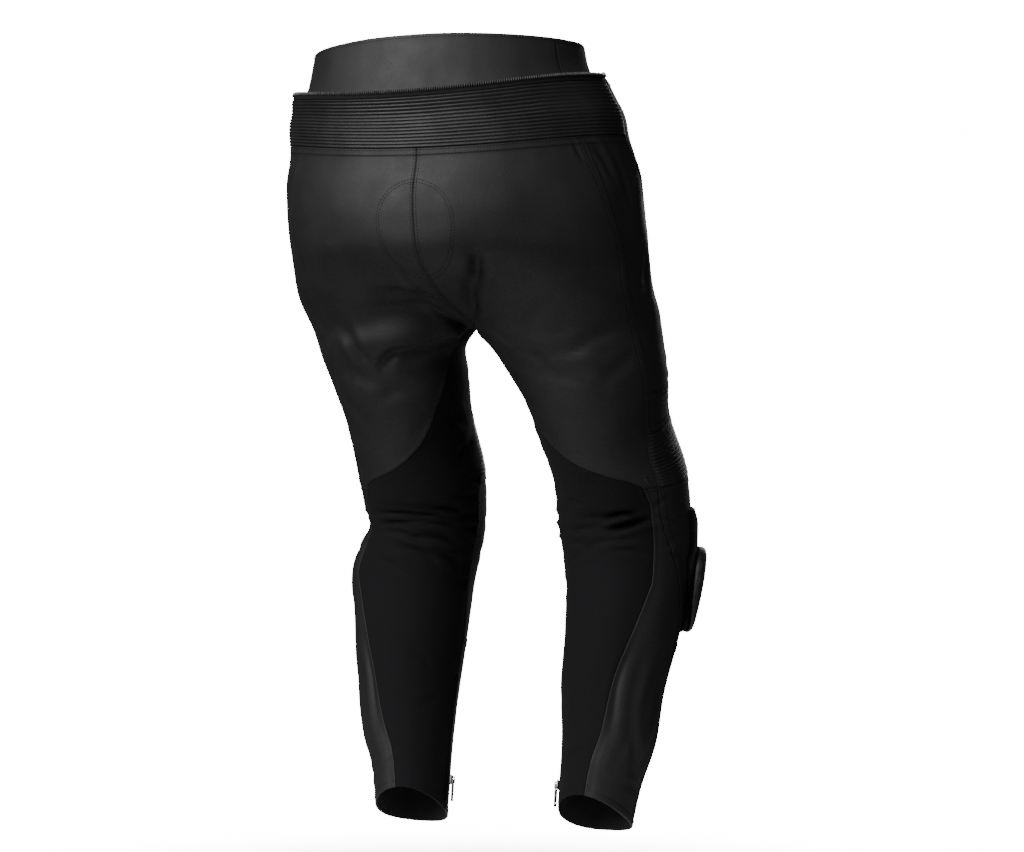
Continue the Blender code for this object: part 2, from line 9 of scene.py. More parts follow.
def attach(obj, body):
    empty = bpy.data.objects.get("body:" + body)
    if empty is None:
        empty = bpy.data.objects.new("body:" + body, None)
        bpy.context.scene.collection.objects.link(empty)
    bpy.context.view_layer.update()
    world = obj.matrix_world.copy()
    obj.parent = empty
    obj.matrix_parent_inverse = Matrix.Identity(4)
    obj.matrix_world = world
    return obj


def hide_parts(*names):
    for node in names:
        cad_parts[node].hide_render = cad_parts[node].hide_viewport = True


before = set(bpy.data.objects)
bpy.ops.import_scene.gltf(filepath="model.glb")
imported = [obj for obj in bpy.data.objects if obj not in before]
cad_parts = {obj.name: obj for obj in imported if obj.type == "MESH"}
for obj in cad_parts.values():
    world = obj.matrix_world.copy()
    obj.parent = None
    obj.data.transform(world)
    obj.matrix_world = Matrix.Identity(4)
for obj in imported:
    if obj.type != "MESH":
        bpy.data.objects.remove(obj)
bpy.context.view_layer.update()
mm = 0.001
print("frame loaded:", len(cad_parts), "nodes")

# side is +1 for the wearer's left leg and -1 for the right. around goes in degrees from the
# inseam (-90) by the back (0), the outer side (90) and the front (180) to the inseam (270).
# level is the height in millimetres from the belt line.

cut = {
    "waistTop": 30.0, "skirtTop": -18.0, "ribbonBottom": -80.0, "crotch": -284.0, "hem": -871.0,
    "leather": 2.0, "stretch": 1.6, "waistband": 2.6, "forkStart": -200.0, "yokeDip": 18.0,
    "yokeRoll": 5.0, "waistSlope": 6.0, "skirtFlare": 10.0, "skirtFade": -46.0,
    "hemArch": 27.0, "hemReach": 120.0,
    "kneeBandTop": -360.0, "kneeRibTop": -404.0, "kneeRibBottom": -468.0,
    "shieldBottom": -668.0, "legZipTop": -706.0, "flyBottom": -162.0,
}

hipSections = [  # level, half width, back, front, middle, lean
    (30, 163, 112, -112, 0, -2), (-18, 176, 119, -120, 0, -1), (-46, 197, 120, -128, -4, 4),
    (-87, 204, 116, -138, -12, 6), (-130, 211, 117, -147, -24, 4), (-170, 212, 117, -154, -34, 4),
    (-210, 212, 110, -160, -46, 5), (-255, 209, 84, -166, -62, 6), (-300, 210, 30, -173, -78, 6),
]

legSections = [  # level, apart, forward, half width, half depth, twist, lean, tilt, slim
    (-200, 0, -38, 112, 114, 10, 4, 0, 2), (-243, 0, -52, 111, 108, 12, 5, -2, 4),
    (-284, 0, -76, 110, 93, 14, 6, -5, 6),
    (-315, 25, -88, 99, 89, 16, 4, -9, 15), (-350, 37, -104, 89, 86, 15, 12, -14, 12),
    (-405, 47, -135, 78, 85, 5, 16, -18, 7), (-465, 49, -163, 79, 82, 0, 25, -12, 4),
    (-530, 52, -181, 79, 79, 0, 22, 0, 7), (-595, 63, -175, 72, 76, 0, 22, 10, 0),
    (-655, 66, -159, 67, 71, 0, 23, 14, -2), (-715, 68, -143, 61, 64, 0, 21, 15, -1),
    (-775, 72, -126, 55, 57, 0, 24, 16, 0), (-830, 72, -111, 47, 50, 0, 26, 16, 0),
    (-885, 72, -95, 42, 46, 0, 28, 16, 0),
]

seams = {  # level, degrees round the leg
    "sideBack": [(-80, 22), (-108, 28), (-170, 44), (-220, 54), (-270, 59), (-330, 60),
                 (-400, 60), (-436, 52), (-500, 50), (-530, 54), (-560, 64), (-590, 76), (-640, 92),
                 (-720, 98), (-880, 98)],
    "sideFront": [(-10, 90.5), (-80, 90.5), (-131, 110), (-199, 123), (-250, 127), (-405, 128)],
    "stretchBack": [(-285, -88), (-305, -80), (-345, -66), (-385, -48), (-408, -33),
                    (-422, -18), (-434, -4), (-445, 12), (-454, 27), (-464, 37), (-490, 41),
                    (-545, 43), (-600, 43), (-637, 35), (-675, 27), (-711, 20), (-760, 11),
                    (-810, 5), (-885, 2)],
    "stretchFront": [(-285, 262), (-330, 246), (-400, 248), (-452, 262), (-484, 278),
                     (-560, 279), (-640, 272), (-885, 270)],
}

mainFolds = [  # side (0 for both), around, level, slant, half length, half width, depth
    (-1, -54, -232, 86, 20, 9, -9), (1, -42, -272, -2, 58, 13, -12),
    (1, -8, -298, -4, 42, 13, 6), (1, -2, -336, 18, 44, 11, -5),
    (-1, -62, -262, 78, 22, 11, -8), (-1, -20, -322, -14, 48, 12, -4),
    (1, -20, -498, 4, 52, 5, -4), (1, -24, -512, 8, 48, 5, -4), (1, -20, -530, 12, 50, 6, -4),
    (-1, 6, -505, 14, 40, 6, -5), (-1, 14, -523, 18, 36, 6, -5), (-1, -40, -548, -6, 34, 6, -4),
    (1, 62, -526, 10, 26, 12, -6), (1, 60, -585, 0, 26, 34, 6), (-1, -84, -552, 0, 26, 9, -5),
    (0, 150, -98, 5, 70, 7, -4), (0, 140, -128, 12, 60, 7, -4), (0, 185, -250, -28, 60, 9, -5),
    (0, 200, -272, -34, 60, 9, -5), (0, 150, -352, 10, 60, 9, -4), (0, 165, -700, 16, 40, 7, -3),
    (0, 60, -800, -60, 40, 7, -3),
]
puffs = [  # around, level, half width, half height, lift: hip pads, seat oval, the seat's fullness
    (104.0, -165.0, 46.0, 62.0, 5.0), (-90.0, -184.0, 52.0, 56.0, 2.5),
    (-90.0, -160.0, 95.0, 58.0, 4.0),
]

creases = [  # side (0 for both), around, level, slant, half length, half width, depth, bend
    # under the seat and behind the thighs
    (1, -38, -307, -10, 34, 5.0, -5.0, -3), (1, -17, -319, -48, 13, 5.5, -6.0, 0),
    (1, 5, -305, 40, 28, 4.8, -4.4, -4), (1, -74, -303, 0, 24, 3.5, -3.4, 2),
    (1, 18, -331, -58, 26, 3.0, 1.6, 2), (1, -52, -256, 2, 46, 5.0, -4.5, 3),
    (1, -70, -284, 26, 20, 5.0, -3.4, 2), (1, 34, -290, -46, 26, 4.5, -1.6, 3),
    (1, -20, -350, -16, 34, 6.0, -1.8, 4), (1, 24, -366, 30, 30, 6.0, -1.4, 3),
    (1, 44, -338, -62, 30, 5.0, -1.4, 2), (1, -46, -380, -30, 26, 6.0, -1.4, 3),
    (1, -74, -250, 64, 22, 6.0, -2.0, 3),
    (-1, -2, -273, 50, 14, 7.0, -2.4, 1), (-1, -23, -299, -18, 18, 4.5, -3.2, 1),
    (-1, -22, -311, -14, 20, 4.0, -3.0, 2), (-1, 4, -311, 6, 40, 5.0, -2.4, 6),
    (-1, 30, -299, 26, 26, 4.5, -2.4, 2), (-1, -14, -326, 60, 16, 5.0, -2.0, 2),
    (-1, 14, -338, -14, 30, 6.0, -1.6, 4), (-1, 40, -330, 34, 26, 5.0, -1.6, 2),
    (0, -78, -292, 30, 20, 4.5, -3.0, 2),
    # hips
    (-1, 44, -106, -44, 26, 5.0, -2.2, 3), (-1, 21, -96, -50, 12, 3.5, -1.6, 1),
    (1, 40, -104, -40, 24, 5.0, -1.4, 3), (0, 66, -128, -58, 34, 6.0, -1.1, 3),
    (0, 84, -250, 74, 46, 7.0, -1.0, 4), (0, 20, -140, -30, 36, 9.0, -0.7, 6),
    # backs of the knees
    (1, -8, -507, 6, 50, 3.5, -5.9, 3), (1, -48, -504, 16, 26, 3.2, -4.2, 2),
    (1, -30, -522, 12, 40, 3.9, -5.0, 3), (1, 8, -520, -4, 24, 3.2, -3.2, 2),
    (1, -36, -546, 14, 34, 4.5, -5.9, 4), (1, -4, -540, 20, 30, 3.5, -4.2, 3),
    (1, -20, -566, 22, 32, 4.5, -3.6, 3), (1, -56, -574, 26, 22, 4.5, -3.2, 2),
    (1, 6, -584, 30, 26, 5.0, -2.3, 2), (1, -66, -488, 8, 22, 4.5, -3.2, 2),
    (-1, 14, -508, 16, 28, 3.9, -5.9, 3), (-1, 22, -520, 22, 26, 4.5, -6.9, 3),
    (-1, -30, -486, -6, 18, 3.5, -2.7, 2), (-1, -20, -528, 14, 30, 3.9, -3.6, 3),
    (-1, -48, -532, 20, 20, 3.5, -3.6, 2), (-1, 2, -546, 12, 30, 4.5, -3.2, 3),
    (-1, -30, -566, 18, 28, 4.5, -3.0, 3), (-1, 22, -560, -16, 24, 4.7, -2.7, 2),
    (0, -70, -515, -10, 22, 4.5, -4.2, 2), (0, -78, -532, 6, 22, 4.5, -4.2, 2),
    (0, -84, -470, 12, 20, 5.3, -3.2, 2), (0, -80, -430, -16, 22, 5.9, -3.2, 2),
    (0, -76, -392, 18, 20, 5.9, -2.7, 2), (0, -84, -600, -12, 24, 5.9, -2.7, 2),
    # outer knee, calves and hems
    (0, 52, -488, 24, 18, 3.0, -1.6, 2), (0, 58, -512, -18, 18, 3.2, -1.8, 2),
    (0, 66, -538, 28, 20, 3.6, -1.6, 2), (0, 70, -562, -8, 18, 3.6, -1.2, 2),
    (0, 24, -728, 80, 52, 6.0, -1.6, 4), (0, 44, -742, 86, 60, 7.0, -1.3, 4),
    (0, 66, -716, 74, 46, 6.0, -1.1, 4), (0, 38, -806, 78, 34, 5.0, -1.0, 3),
    (0, 84, -780, 70, 40, 6.0, -1.0, 4), (0, -30, -690, 30, 34, 5.0, -0.9, 4),
    (0, -52, -742, -24, 32, 5.0, -0.8, 4), (0, -20, -812, 12, 30, 4.5, -1.2, 3),
    (0, 12, -838, -8, 34, 4.0, -1.1, 3), (0, 70, -836, 10, 30, 4.0, -1.0, 3),
    # front, from the fly down to the shins
    (0, 252, -216, -34, 34, 6.0, -2.0, 4), (0, 240, -238, -28, 40, 6.0, -2.2, 5),
    (0, 226, -262, -20, 36, 6.0, -1.6, 4), (0, 258, -190, -46, 26, 5.0, -1.3, 3),
    (0, 176, -300, 14, 44, 6.0, -1.3, 5), (0, 204, -330, -10, 40, 6.0, -1.2, 5),
    (0, 150, -318, 8, 34, 5.0, -1.0, 4), (0, 190, -382, 6, 36, 5.0, -1.2, 4),
    (0, 120, -350, -22, 30, 5.0, -1.1, 3), (0, 232, -360, 20, 26, 5.0, -1.2, 3),
    (0, 230, -484, 12, 24, 4.0, -1.2, 2), (0, 238, -520, -8, 26, 4.0, -1.2, 3),
    (0, 240, -560, 16, 26, 4.5, -1.0, 3), (0, 205, -655, 8, 30, 4.0, -0.9, 3),
    (0, 150, -690, 18, 36, 5.0, -1.2, 4), (0, 186, -716, -12, 32, 5.0, -1.0, 4),
    (0, 220, -752, 24, 34, 5.0, -0.9, 3), (0, 170, -800, -14, 34, 5.0, -0.9, 4),
    (0, 140, -836, 8, 30, 4.0, -1.0, 3), (0, 214, -838, -10, 28, 4.0, -0.9, 3),
]


def smooth(table, level):  # a smooth curve through a table's rows
    rows = np.array(sorted(table), float)
    at, values = rows[:, 0], rows[:, 1:]
    slopes = np.gradient(values, at, axis=0)
    level = np.clip(np.asarray(level, float), at[0], at[-1])
    i = np.clip(np.searchsorted(at, level) - 1, 0, len(at) - 2)
    width = (at[i + 1] - at[i])[..., None]
    t = (level - at[i])[..., None] / width
    return ((2 * t**3 - 3 * t**2 + 1) * values[i] + (t**3 - 2 * t**2 + t) * width * slopes[i]
            + (3 * t**2 - 2 * t**3) * values[i + 1] + (t**3 - t**2) * width * slopes[i + 1])


def seamAt(line, level):
    rows = np.array(sorted(line), float)
    return np.interp(level, rows[:, 0], rows[:, 1])


def ease(t):
    t = np.clip(t, 0.0, 1.0)
    return t * t * (3 - 2 * t)


def waver(a, b, seed):  # an uneven wave from -1 to 1
    return (np.sin(a + 1.7 * seed) * np.cos(0.83 * b + seed) + np.sin(0.61 * a - 1.13 * b + seed)
            + 0.6 * np.sin(1.9 * a + 0.4 * b + 2.3 * seed)) / 2.6


def bareForm(side, around, level):
    turn = np.radians(around)
    apart, forward, wide, deep, twist, lean, tilt, slim = np.moveaxis(
        smooth(legSections, level), -1, 0)
    wide = wide - slim * np.where(side > 0, 1.0, 0.0)
    twist, tilt = np.radians(twist), np.radians(tilt)
    a, b = wide * np.sin(turn - twist), deep * np.cos(turn - twist)
    reach = np.hypot(wide * np.cos(twist), deep * np.sin(twist))
    legX = apart + reach + a * np.cos(twist) + b * np.sin(twist)
    closed = legX - apart * (1 - (legX - apart) / (2 * reach))
    legX = np.where(level > cut["crotch"], closed, legX)
    legY = -a * np.sin(twist) + b * np.cos(twist)
    arch = cut["hemArch"] * ease((cut["hemReach"] - (level - cut["hem"])) / cut["hemReach"])
    arch = arch * np.cos(turn / 2 + math.radians(5)) ** 4
    leg = np.stack([legX, forward + legY * np.cos(tilt), level + legY * np.sin(tilt) + arch], -1)

    halfWidth, back, front, middle, hipLean = np.moveaxis(smooth(hipSections, level), -1, 0)
    hipTurn = (turn + math.pi / 2) / 2
    depth = np.where(hipTurn < math.pi / 2, back - middle, middle - front)
    dip = cut["yokeDip"] * np.maximum(np.cos(hipTurn), 0) ** 2
    dip = dip * ease((cut["waistTop"] - level) / 40) * ease((level + 200) / 120)
    hip = np.stack([halfWidth * np.sin(hipTurn), middle + depth * np.cos(hipTurn), level - dip], -1)

    fork = np.clip((cut["forkStart"] - level) / (cut["forkStart"] - cut["crotch"]), 0, 1)
    inner = ((1 - np.sin(turn)) / 2) ** 4
    share = (inner * (1 - np.sqrt(1 - fork**2)) + (1 - inner) * ease(fork))[..., None]
    point = (1 - share) * hip + share * leg
    point[..., 0] *= side
    point[..., 0] -= share[..., 0] * lean + (1 - share[..., 0]) * hipLean
    sag = ease((level + 80) / 70) * (0.5 + 0.5 * ease((20 - level) / 30))
    point[..., 2] -= cut["yokeRoll"] * sag * side * np.sin(hipTurn)
    high = ease((level - cut["skirtTop"]) / (cut["waistTop"] - cut["skirtTop"]))
    point[..., 2] -= cut["waistSlope"] * high * (1 - np.maximum(np.cos(hipTurn), 0) ** 2)
    return point


def degreeWidth(side, around, level):  # millimetres to a degree round the leg
    return np.linalg.norm(bareForm(side, around + 0.5, level)
                          - bareForm(side, around - 0.5, level), axis=-1)


def onFold(around, level, place, reach, slant, bend=0.0):  # along and across a fold
    radius = 75.0 + 45.0 * ease((level - cut["crotch"]) / 60)
    x = np.radians(around - place[0]) * radius
    y = level - place[1]
    c, s = math.cos(math.radians(slant)), math.sin(math.radians(slant))
    along = (x * c + y * s) / reach[0]
    return along, (y * c - x * s + bend * (along**2 - 0.4)) / reach[1]


def lift(side, around, level, fine=True):
    shape = np.broadcast(side, around, level).shape
    side, around, level = (np.atleast_1d(v) for v in np.broadcast_arrays(side, around, level))
    total = 0.5 * waver(around / 13, level / 31, 1.0) + 0.25 * waver(
        around / 6, level / 13, 4.0)
    for a0, l0, halfWidth, halfHeight, height in puffs:
        total += height * ease(1.6 - np.hypot(
            np.radians(around - a0) * 100 / halfWidth, (level - l0) / halfHeight))
    for k, (which, a0, l0, slant, length, width, depth, *bend) in enumerate(
            mainFolds + creases if fine else mainFolds):
        reach = 1.4 * length + 4 * width
        near = (np.abs(level - l0) < reach) & (np.abs(around - a0) < reach) & (which * side >= 0)
        if not near.any():
            continue
        along, across = onFold(around[near], level[near], (a0, l0), (length, width), slant,
                               *bend)
        if bend:  # a crease runs unevenly and pushes up soft shoulders
            across = across + 0.5 * waver(2.3 * along, 1.0 * k, k)
            trough = np.exp(-across**2) - 0.4 * np.exp(-(np.abs(across) - 2.1) ** 2)
        else:
            trough = np.exp(-across**2)
        total[near] += depth * trough * ease((1.3 if bend else 1.35) - np.abs(along))
    return total.reshape(shape)


def place(side, around, level, out=0.0, flare=0.0, fine=True):  # points on the cloth, normals
    side, around, level = np.broadcast_arrays(
        np.asarray(side, float), np.asarray(around, float), np.asarray(level, float))
    step = 0.5

    def face(a, v):
        normal = np.cross(bareForm(side, a + step, v) - bareForm(side, a - step, v),
                          bareForm(side, a, v + step) - bareForm(side, a, v - step))
        normal = normal * -side[..., None]
        normal /= np.linalg.norm(normal, axis=-1, keepdims=True)
        return bareForm(side, a, v) + normal * lift(side, a, v, fine)[..., None]

    normal = np.cross(face(around + step, level) - face(around - step, level),
                      face(around, level + step) - face(around, level - step))
    normal = normal * -side[..., None]
    normal /= np.linalg.norm(normal, axis=-1, keepdims=True)
    flat = normal * np.array([1.0, 1.0, 0.0])
    flat /= np.linalg.norm(flat, axis=-1, keepdims=True)
    out = np.broadcast_to(np.asarray(out, float), around.shape)[..., None]
    flare = np.broadcast_to(np.asarray(flare, float), around.shape)[..., None]
    return face(around, level) + normal * out + flat * flare, normal


def skirt(around, level):
    reach = ease((250 - around) / 130)
    top, fade = cut["skirtTop"], cut["skirtFade"]
    return cut["skirtFlare"] * reach * ease((level - fade) / (top - fade))


def node(tree, kind, settings=None, inputs=None, **values):  # an input is a value or a socket
    made = tree.nodes.new(kind)
    for key, value in (settings or {}).items():
        setattr(made, key, value)
    for key, value in {**(inputs or {}), **values}.items():
        if isinstance(value, bpy.types.NodeSocket):
            tree.links.new(value, made.inputs[key])
        else:
            made.inputs[key].default_value = value
    return made


def calc(tree, operation, *values, clamp=False):
    made = node(tree, "ShaderNodeMath", {"operation": operation, "use_clamp": clamp},
                dict(enumerate(values)))
    return made.outputs[0]


def shaderGroup(name, inputs, outputs):
    tree = bpy.data.node_groups.new(name, "ShaderNodeTree")
    for label, default in inputs.items():
        socket = tree.interface.new_socket(label, in_out="INPUT", socket_type="NodeSocketFloat")
        socket.default_value = default
    for label in outputs:
        tree.interface.new_socket(label, in_out="OUTPUT", socket_type="NodeSocketFloat")
    return tree, tree.nodes.new("NodeGroupInput"), tree.nodes.new("NodeGroupOutput")


def grainGroup():  # pebbled hide: Cell is a pebble's size in metres
    tree, given, out = shaderGroup("hideGrain", {"Cell": 0.0013, "Crumple": 1.0},
                                   ("Height", "Tone", "Shine"))
    spot = node(tree, "ShaderNodeTexCoord").outputs["Object"]
    scaled = node(tree, "ShaderNodeVectorMath", {"operation": "SCALE"}, {
        0: spot, "Scale": calc(tree, "DIVIDE", 1.0, given.outputs["Cell"])}).outputs[0]
    drift = node(tree, "ShaderNodeTexNoise", Vector=scaled, Scale=0.6, Detail=2.0)
    warped = node(tree, "ShaderNodeVectorMath", {"operation": "MULTIPLY_ADD"},
                  {0: drift.outputs["Color"], 1: (0.9, 0.9, 0.9), 2: scaled})
    cells = node(tree, "ShaderNodeTexVoronoi", {"feature": "DISTANCE_TO_EDGE"},
                 Vector=warped.outputs[0], Scale=1.0)
    pebble = node(tree, "ShaderNodeMapRange", {"interpolation_type": "SMOOTHSTEP"},
                  {"From Max": 0.32, "Value": cells.outputs["Distance"]})
    shine, tone, fine = (
        node(tree, "ShaderNodeTexNoise", Vector=spot, Scale=scale, Detail=detail,
             Roughness=0.6).outputs["Fac"]
        for scale, detail in ((34.0, 4.0), (11.0, 3.0), (260.0, 4.0)))
    crumple = calc(tree, "MULTIPLY", fine, given.outputs["Crumple"])
    height = calc(tree, "ADD", calc(tree, "MULTIPLY", pebble.outputs[0], 0.5), crumple)
    for label, socket in (("Height", height), ("Tone", tone), ("Shine", shine)):
        tree.links.new(socket, out.inputs[label])
    return tree


def weaveGroup():  # crossing threads on the piece's cut, in threads to the metre
    tree, given, out = shaderGroup("threads", {"Across": 1200.0, "Along": 1200.0, "Twill": 0.0},
                                   ("Height", "Tone"))
    uv = node(tree, "ShaderNodeUVMap", {"uv_map": "cut"})
    x, y, _ = node(tree, "ShaderNodeSeparateXYZ", None, {0: uv.outputs[0]}).outputs
    slide = calc(tree, "MULTIPLY", y, given.outputs["Twill"])
    u = calc(tree, "MULTIPLY", calc(tree, "ADD", x, slide), given.outputs["Across"])
    v = calc(tree, "MULTIPLY", y, given.outputs["Along"])
    warp, weft = (calc(tree, "SINE", calc(tree, "MULTIPLY", w, 6.2832)) for w in (u, v))
    height = calc(tree, "MULTIPLY_ADD", calc(tree, "MULTIPLY", warp, weft), 0.35, 0.5)
    spot = node(tree, "ShaderNodeTexCoord").outputs["Object"]
    tone = node(tree, "ShaderNodeTexNoise", Vector=spot, Scale=16.0, Detail=5.0, Roughness=0.65)
    tree.links.new(height, out.inputs["Height"])
    tree.links.new(tone.outputs["Fac"], out.inputs["Tone"])
    return tree


def wearAndShadeGroup():  # where the piece is rubbed, which is wear, and where it lies deep, which gets painted shade
    tree, given, out = shaderGroup("wearAndShade", {"Rub": 1.0, "Breakup": 90.0}, ("Rubbed", "PaintedShade"))
    relief = node(tree, "ShaderNodeAttribute", {"attribute_name": "relief"}).outputs["Fac"]
    spot = node(tree, "ShaderNodeTexCoord").outputs["Object"]
    patchy = node(tree, "ShaderNodeTexNoise", Vector=spot, Scale=given.outputs["Breakup"],
                  Detail=4.0, Roughness=0.7)
    chance = node(tree, "ShaderNodeMapRange", None, {
        "From Min": 0.38, "From Max": 0.66, "Value": patchy.outputs["Fac"]})
    high = calc(tree, "MULTIPLY", calc(tree, "MAXIMUM", relief, 0.0), given.outputs["Rub"])
    # painted shade: how far the surface lies below its panel, in seam valleys, tucks and rounded edges
    deep = calc(tree, "MAXIMUM", calc(tree, "MULTIPLY", relief, -1.0), 0.0)
    rubbed = calc(tree, "MULTIPLY", high, chance.outputs[0], clamp=True)
    tree.links.new(rubbed, out.inputs["Rubbed"])
    tree.links.new(calc(tree, "MINIMUM", deep, 1.0), out.inputs["PaintedShade"])
    return tree


hideGrain, threads, wearAndShade = grainGroup(), weaveGroup(), wearAndShadeGroup()

finishes = {  # colours are linear; bump is the depth of the pattern in metres
    "blackLeather": {"pattern": "hide", "dark": (0.0075, 0.0075, 0.0078),
                     "light": (0.0135, 0.0135, 0.0140), "worn": (0.024, 0.0235, 0.023),
                     "rough": 0.62, "swing": 0.12, "bump": 0.00013, "cell": 0.0015,
                     "crumple": 0.9, "rub": 0.4},
    "ribbedLeather": {"pattern": "hide", "dark": (0.0080, 0.0080, 0.0083),
                      "light": (0.0140, 0.0140, 0.0145), "worn": (0.034, 0.033, 0.032),
                      "rough": 0.5, "swing": 0.12, "bump": 0.00009, "cell": 0.0011,
                      "crumple": 0.8, "rub": 1.0},
    "hideInside": {"pattern": "hide", "dark": (0.010, 0.0095, 0.009),
                   "light": (0.022, 0.021, 0.020), "worn": (0.03, 0.03, 0.03),
                   "rough": 0.92, "swing": 0.06, "bump": 0.00018, "cell": 0.0006,
                   "crumple": 1.6, "rub": 0.2},
    "stretchCloth": {"pattern": "threads", "dark": (0.0032, 0.0026, 0.0036),
                     "light": (0.0050, 0.0041, 0.0056), "worn": (0.009, 0.008, 0.0098),
                     "rough": 0.86, "swing": 0.05, "bump": 0.00016, "across": 620.0,
                     "along": 900.0, "twill": 0.5, "sheen": 0.015, "gloss": 0.26, "rub": 0.5},
    "elastic": {"pattern": "threads", "dark": (0.0045, 0.0045, 0.0046),
                "light": (0.0085, 0.0085, 0.0088), "worn": (0.014, 0.014, 0.014),
                "rough": 0.82, "swing": 0.06, "bump": 0.00035, "across": 330.0,
                "along": 900.0, "twill": 0.0, "sheen": 0.06, "rub": 0.5},
    "zipTape": {"pattern": "threads", "dark": (0.0035, 0.0035, 0.0036),
                "light": (0.0065, 0.0065, 0.0067), "worn": (0.013, 0.013, 0.013),
                "rough": 0.78, "swing": 0.06, "bump": 0.00012, "across": 900.0,
                "along": 1500.0, "twill": 1.0, "gloss": 0.3, "rub": 0.5},
    "loopPile": {"pattern": "threads", "dark": (0.0045, 0.0045, 0.0045),
                 "light": (0.0105, 0.0105, 0.0105), "worn": (0.018, 0.018, 0.018),
                 "rough": 0.95, "swing": 0.03, "bump": 0.0006, "across": 520.0,
                 "along": 480.0, "twill": 0.3, "sheen": 0.12, "rub": 0.6},
    "sewingThread": {"pattern": "plain", "dark": (0.0042, 0.0042, 0.0044),
                     "light": (0.0085, 0.0085, 0.0088), "rough": 0.7, "swing": 0.1,
                     "gloss": 0.3, "bump": 0.00006, "grit": 5200.0},
    "zipTeeth": {"pattern": "plain", "dark": (0.050, 0.050, 0.051),
                 "light": (0.110, 0.110, 0.113), "rough": 0.3, "swing": 0.12,
                 "bump": 0.00003, "grit": 1800.0},
    "sliderPlastic": {"pattern": "plain", "dark": (0.0085, 0.0085, 0.0088),
                      "light": (0.0150, 0.0150, 0.0155), "rough": 0.5, "swing": 0.16,
                      "bump": 0.00012, "grit": 900.0, "worn": (0.05, 0.05, 0.05), "rub": 1.0},
    "gunMetal": {"pattern": "plain", "dark": (0.055, 0.055, 0.058),
                 "light": (0.15, 0.15, 0.155), "rough": 0.32, "swing": 0.2, "metal": 1.0,
                 "bump": 0.00003, "grit": 700.0, "worn": (0.34, 0.34, 0.34), "rub": 0.8},
}


def makeFinish(name, look):
    made = bpy.data.materials.new(name)
    made.use_nodes = True
    tree = made.node_tree
    shader = tree.nodes["Principled BSDF"]
    shader.inputs["Metallic"].default_value = look.get("metal", 0.0)
    shader.inputs["Specular IOR Level"].default_value = look.get("gloss", 0.5)
    if "sheen" in look:
        shader.inputs["Sheen Weight"].default_value = look["sheen"]
        shader.inputs["Sheen Roughness"].default_value = 0.5
    if look["pattern"] == "hide":
        source = node(tree, "ShaderNodeGroup", {"node_tree": hideGrain},
                      Cell=look["cell"], Crumple=look["crumple"])
        height, tone, shine = (source.outputs[k] for k in ("Height", "Tone", "Shine"))
    elif look["pattern"] == "threads":
        source = node(tree, "ShaderNodeGroup", {"node_tree": threads}, Across=look["across"],
                      Along=look["along"], Twill=look["twill"])
        height, tone, shine = (source.outputs[k] for k in ("Height", "Tone", "Tone"))
    else:
        spot = node(tree, "ShaderNodeTexCoord").outputs["Object"]
        fine = node(tree, "ShaderNodeTexNoise", Vector=spot, Scale=look["grit"], Detail=3.0)
        broad = node(tree, "ShaderNodeTexNoise", Vector=spot, Scale=look["grit"] / 9, Detail=4.0)
        height, tone, shine = (k.outputs["Fac"] for k in (fine, broad, broad))
    spread = node(tree, "ShaderNodeMapRange", None, {
        "From Min": 0.3, "From Max": 0.7, "Value": tone})
    final = node(tree, "ShaderNodeMix", {"data_type": "RGBA"}, Factor=spread.outputs[0],
                 A=(*look["dark"], 1.0), B=(*look["light"], 1.0)).outputs["Result"]
    rough = calc(tree, "MULTIPLY_ADD", calc(tree, "SUBTRACT", shine, 0.5), look["swing"] * 2,
                 look["rough"])
    if "rub" in look:
        rubbed = node(tree, "ShaderNodeGroup", {"node_tree": wearAndShade}, Rub=look["rub"])
        # painted shade: the colour darkens towards half its dark tone where the surface lies deep; the
        # worn colour on raised parts is rub wear
        shaded = node(tree, "ShaderNodeMix", {"data_type": "RGBA"},
                      Factor=calc(tree, "MULTIPLY", rubbed.outputs["PaintedShade"], 0.35),
                      A=final, B=(*(v * 0.5 for v in look["dark"]), 1.0))
        final = node(tree, "ShaderNodeMix", {"data_type": "RGBA"},
                     Factor=rubbed.outputs["Rubbed"], A=shaded.outputs["Result"],
                     B=(*look["worn"], 1.0)).outputs["Result"]
        rough = calc(tree, "SUBTRACT", rough, calc(tree, "MULTIPLY", rubbed.outputs["Rubbed"], 0.1))
    bump = node(tree, "ShaderNodeBump", Distance=look["bump"], Height=height)
    for label, socket in (("Normal", bump.outputs[0]), ("Base Color", final),
                          ("Roughness", calc(tree, "MAXIMUM", rough, 0.15))):
        tree.links.new(socket, shader.inputs[label])
    return made


skins = {name: makeFinish(name, look) for name, look in finishes.items()}
print("materials made:", len(skins))


def inScene(name, data):
    made = bpy.data.objects.new(name, data)
    bpy.context.scene.collection.objects.link(made)
    return made


def asObject(name, points, faces, skinNames, faceSkins=None):
    mesh = bpy.data.meshes.new(name)
    mesh.from_pydata(points, [], faces)
    for skin in skinNames:
        mesh.materials.append(skins[skin])
    if faceSkins is not None:
        mesh.polygons.foreach_set("material_index", faceSkins)
    mesh.update()
    mesh.shade_smooth()
    return inScene(name, mesh)


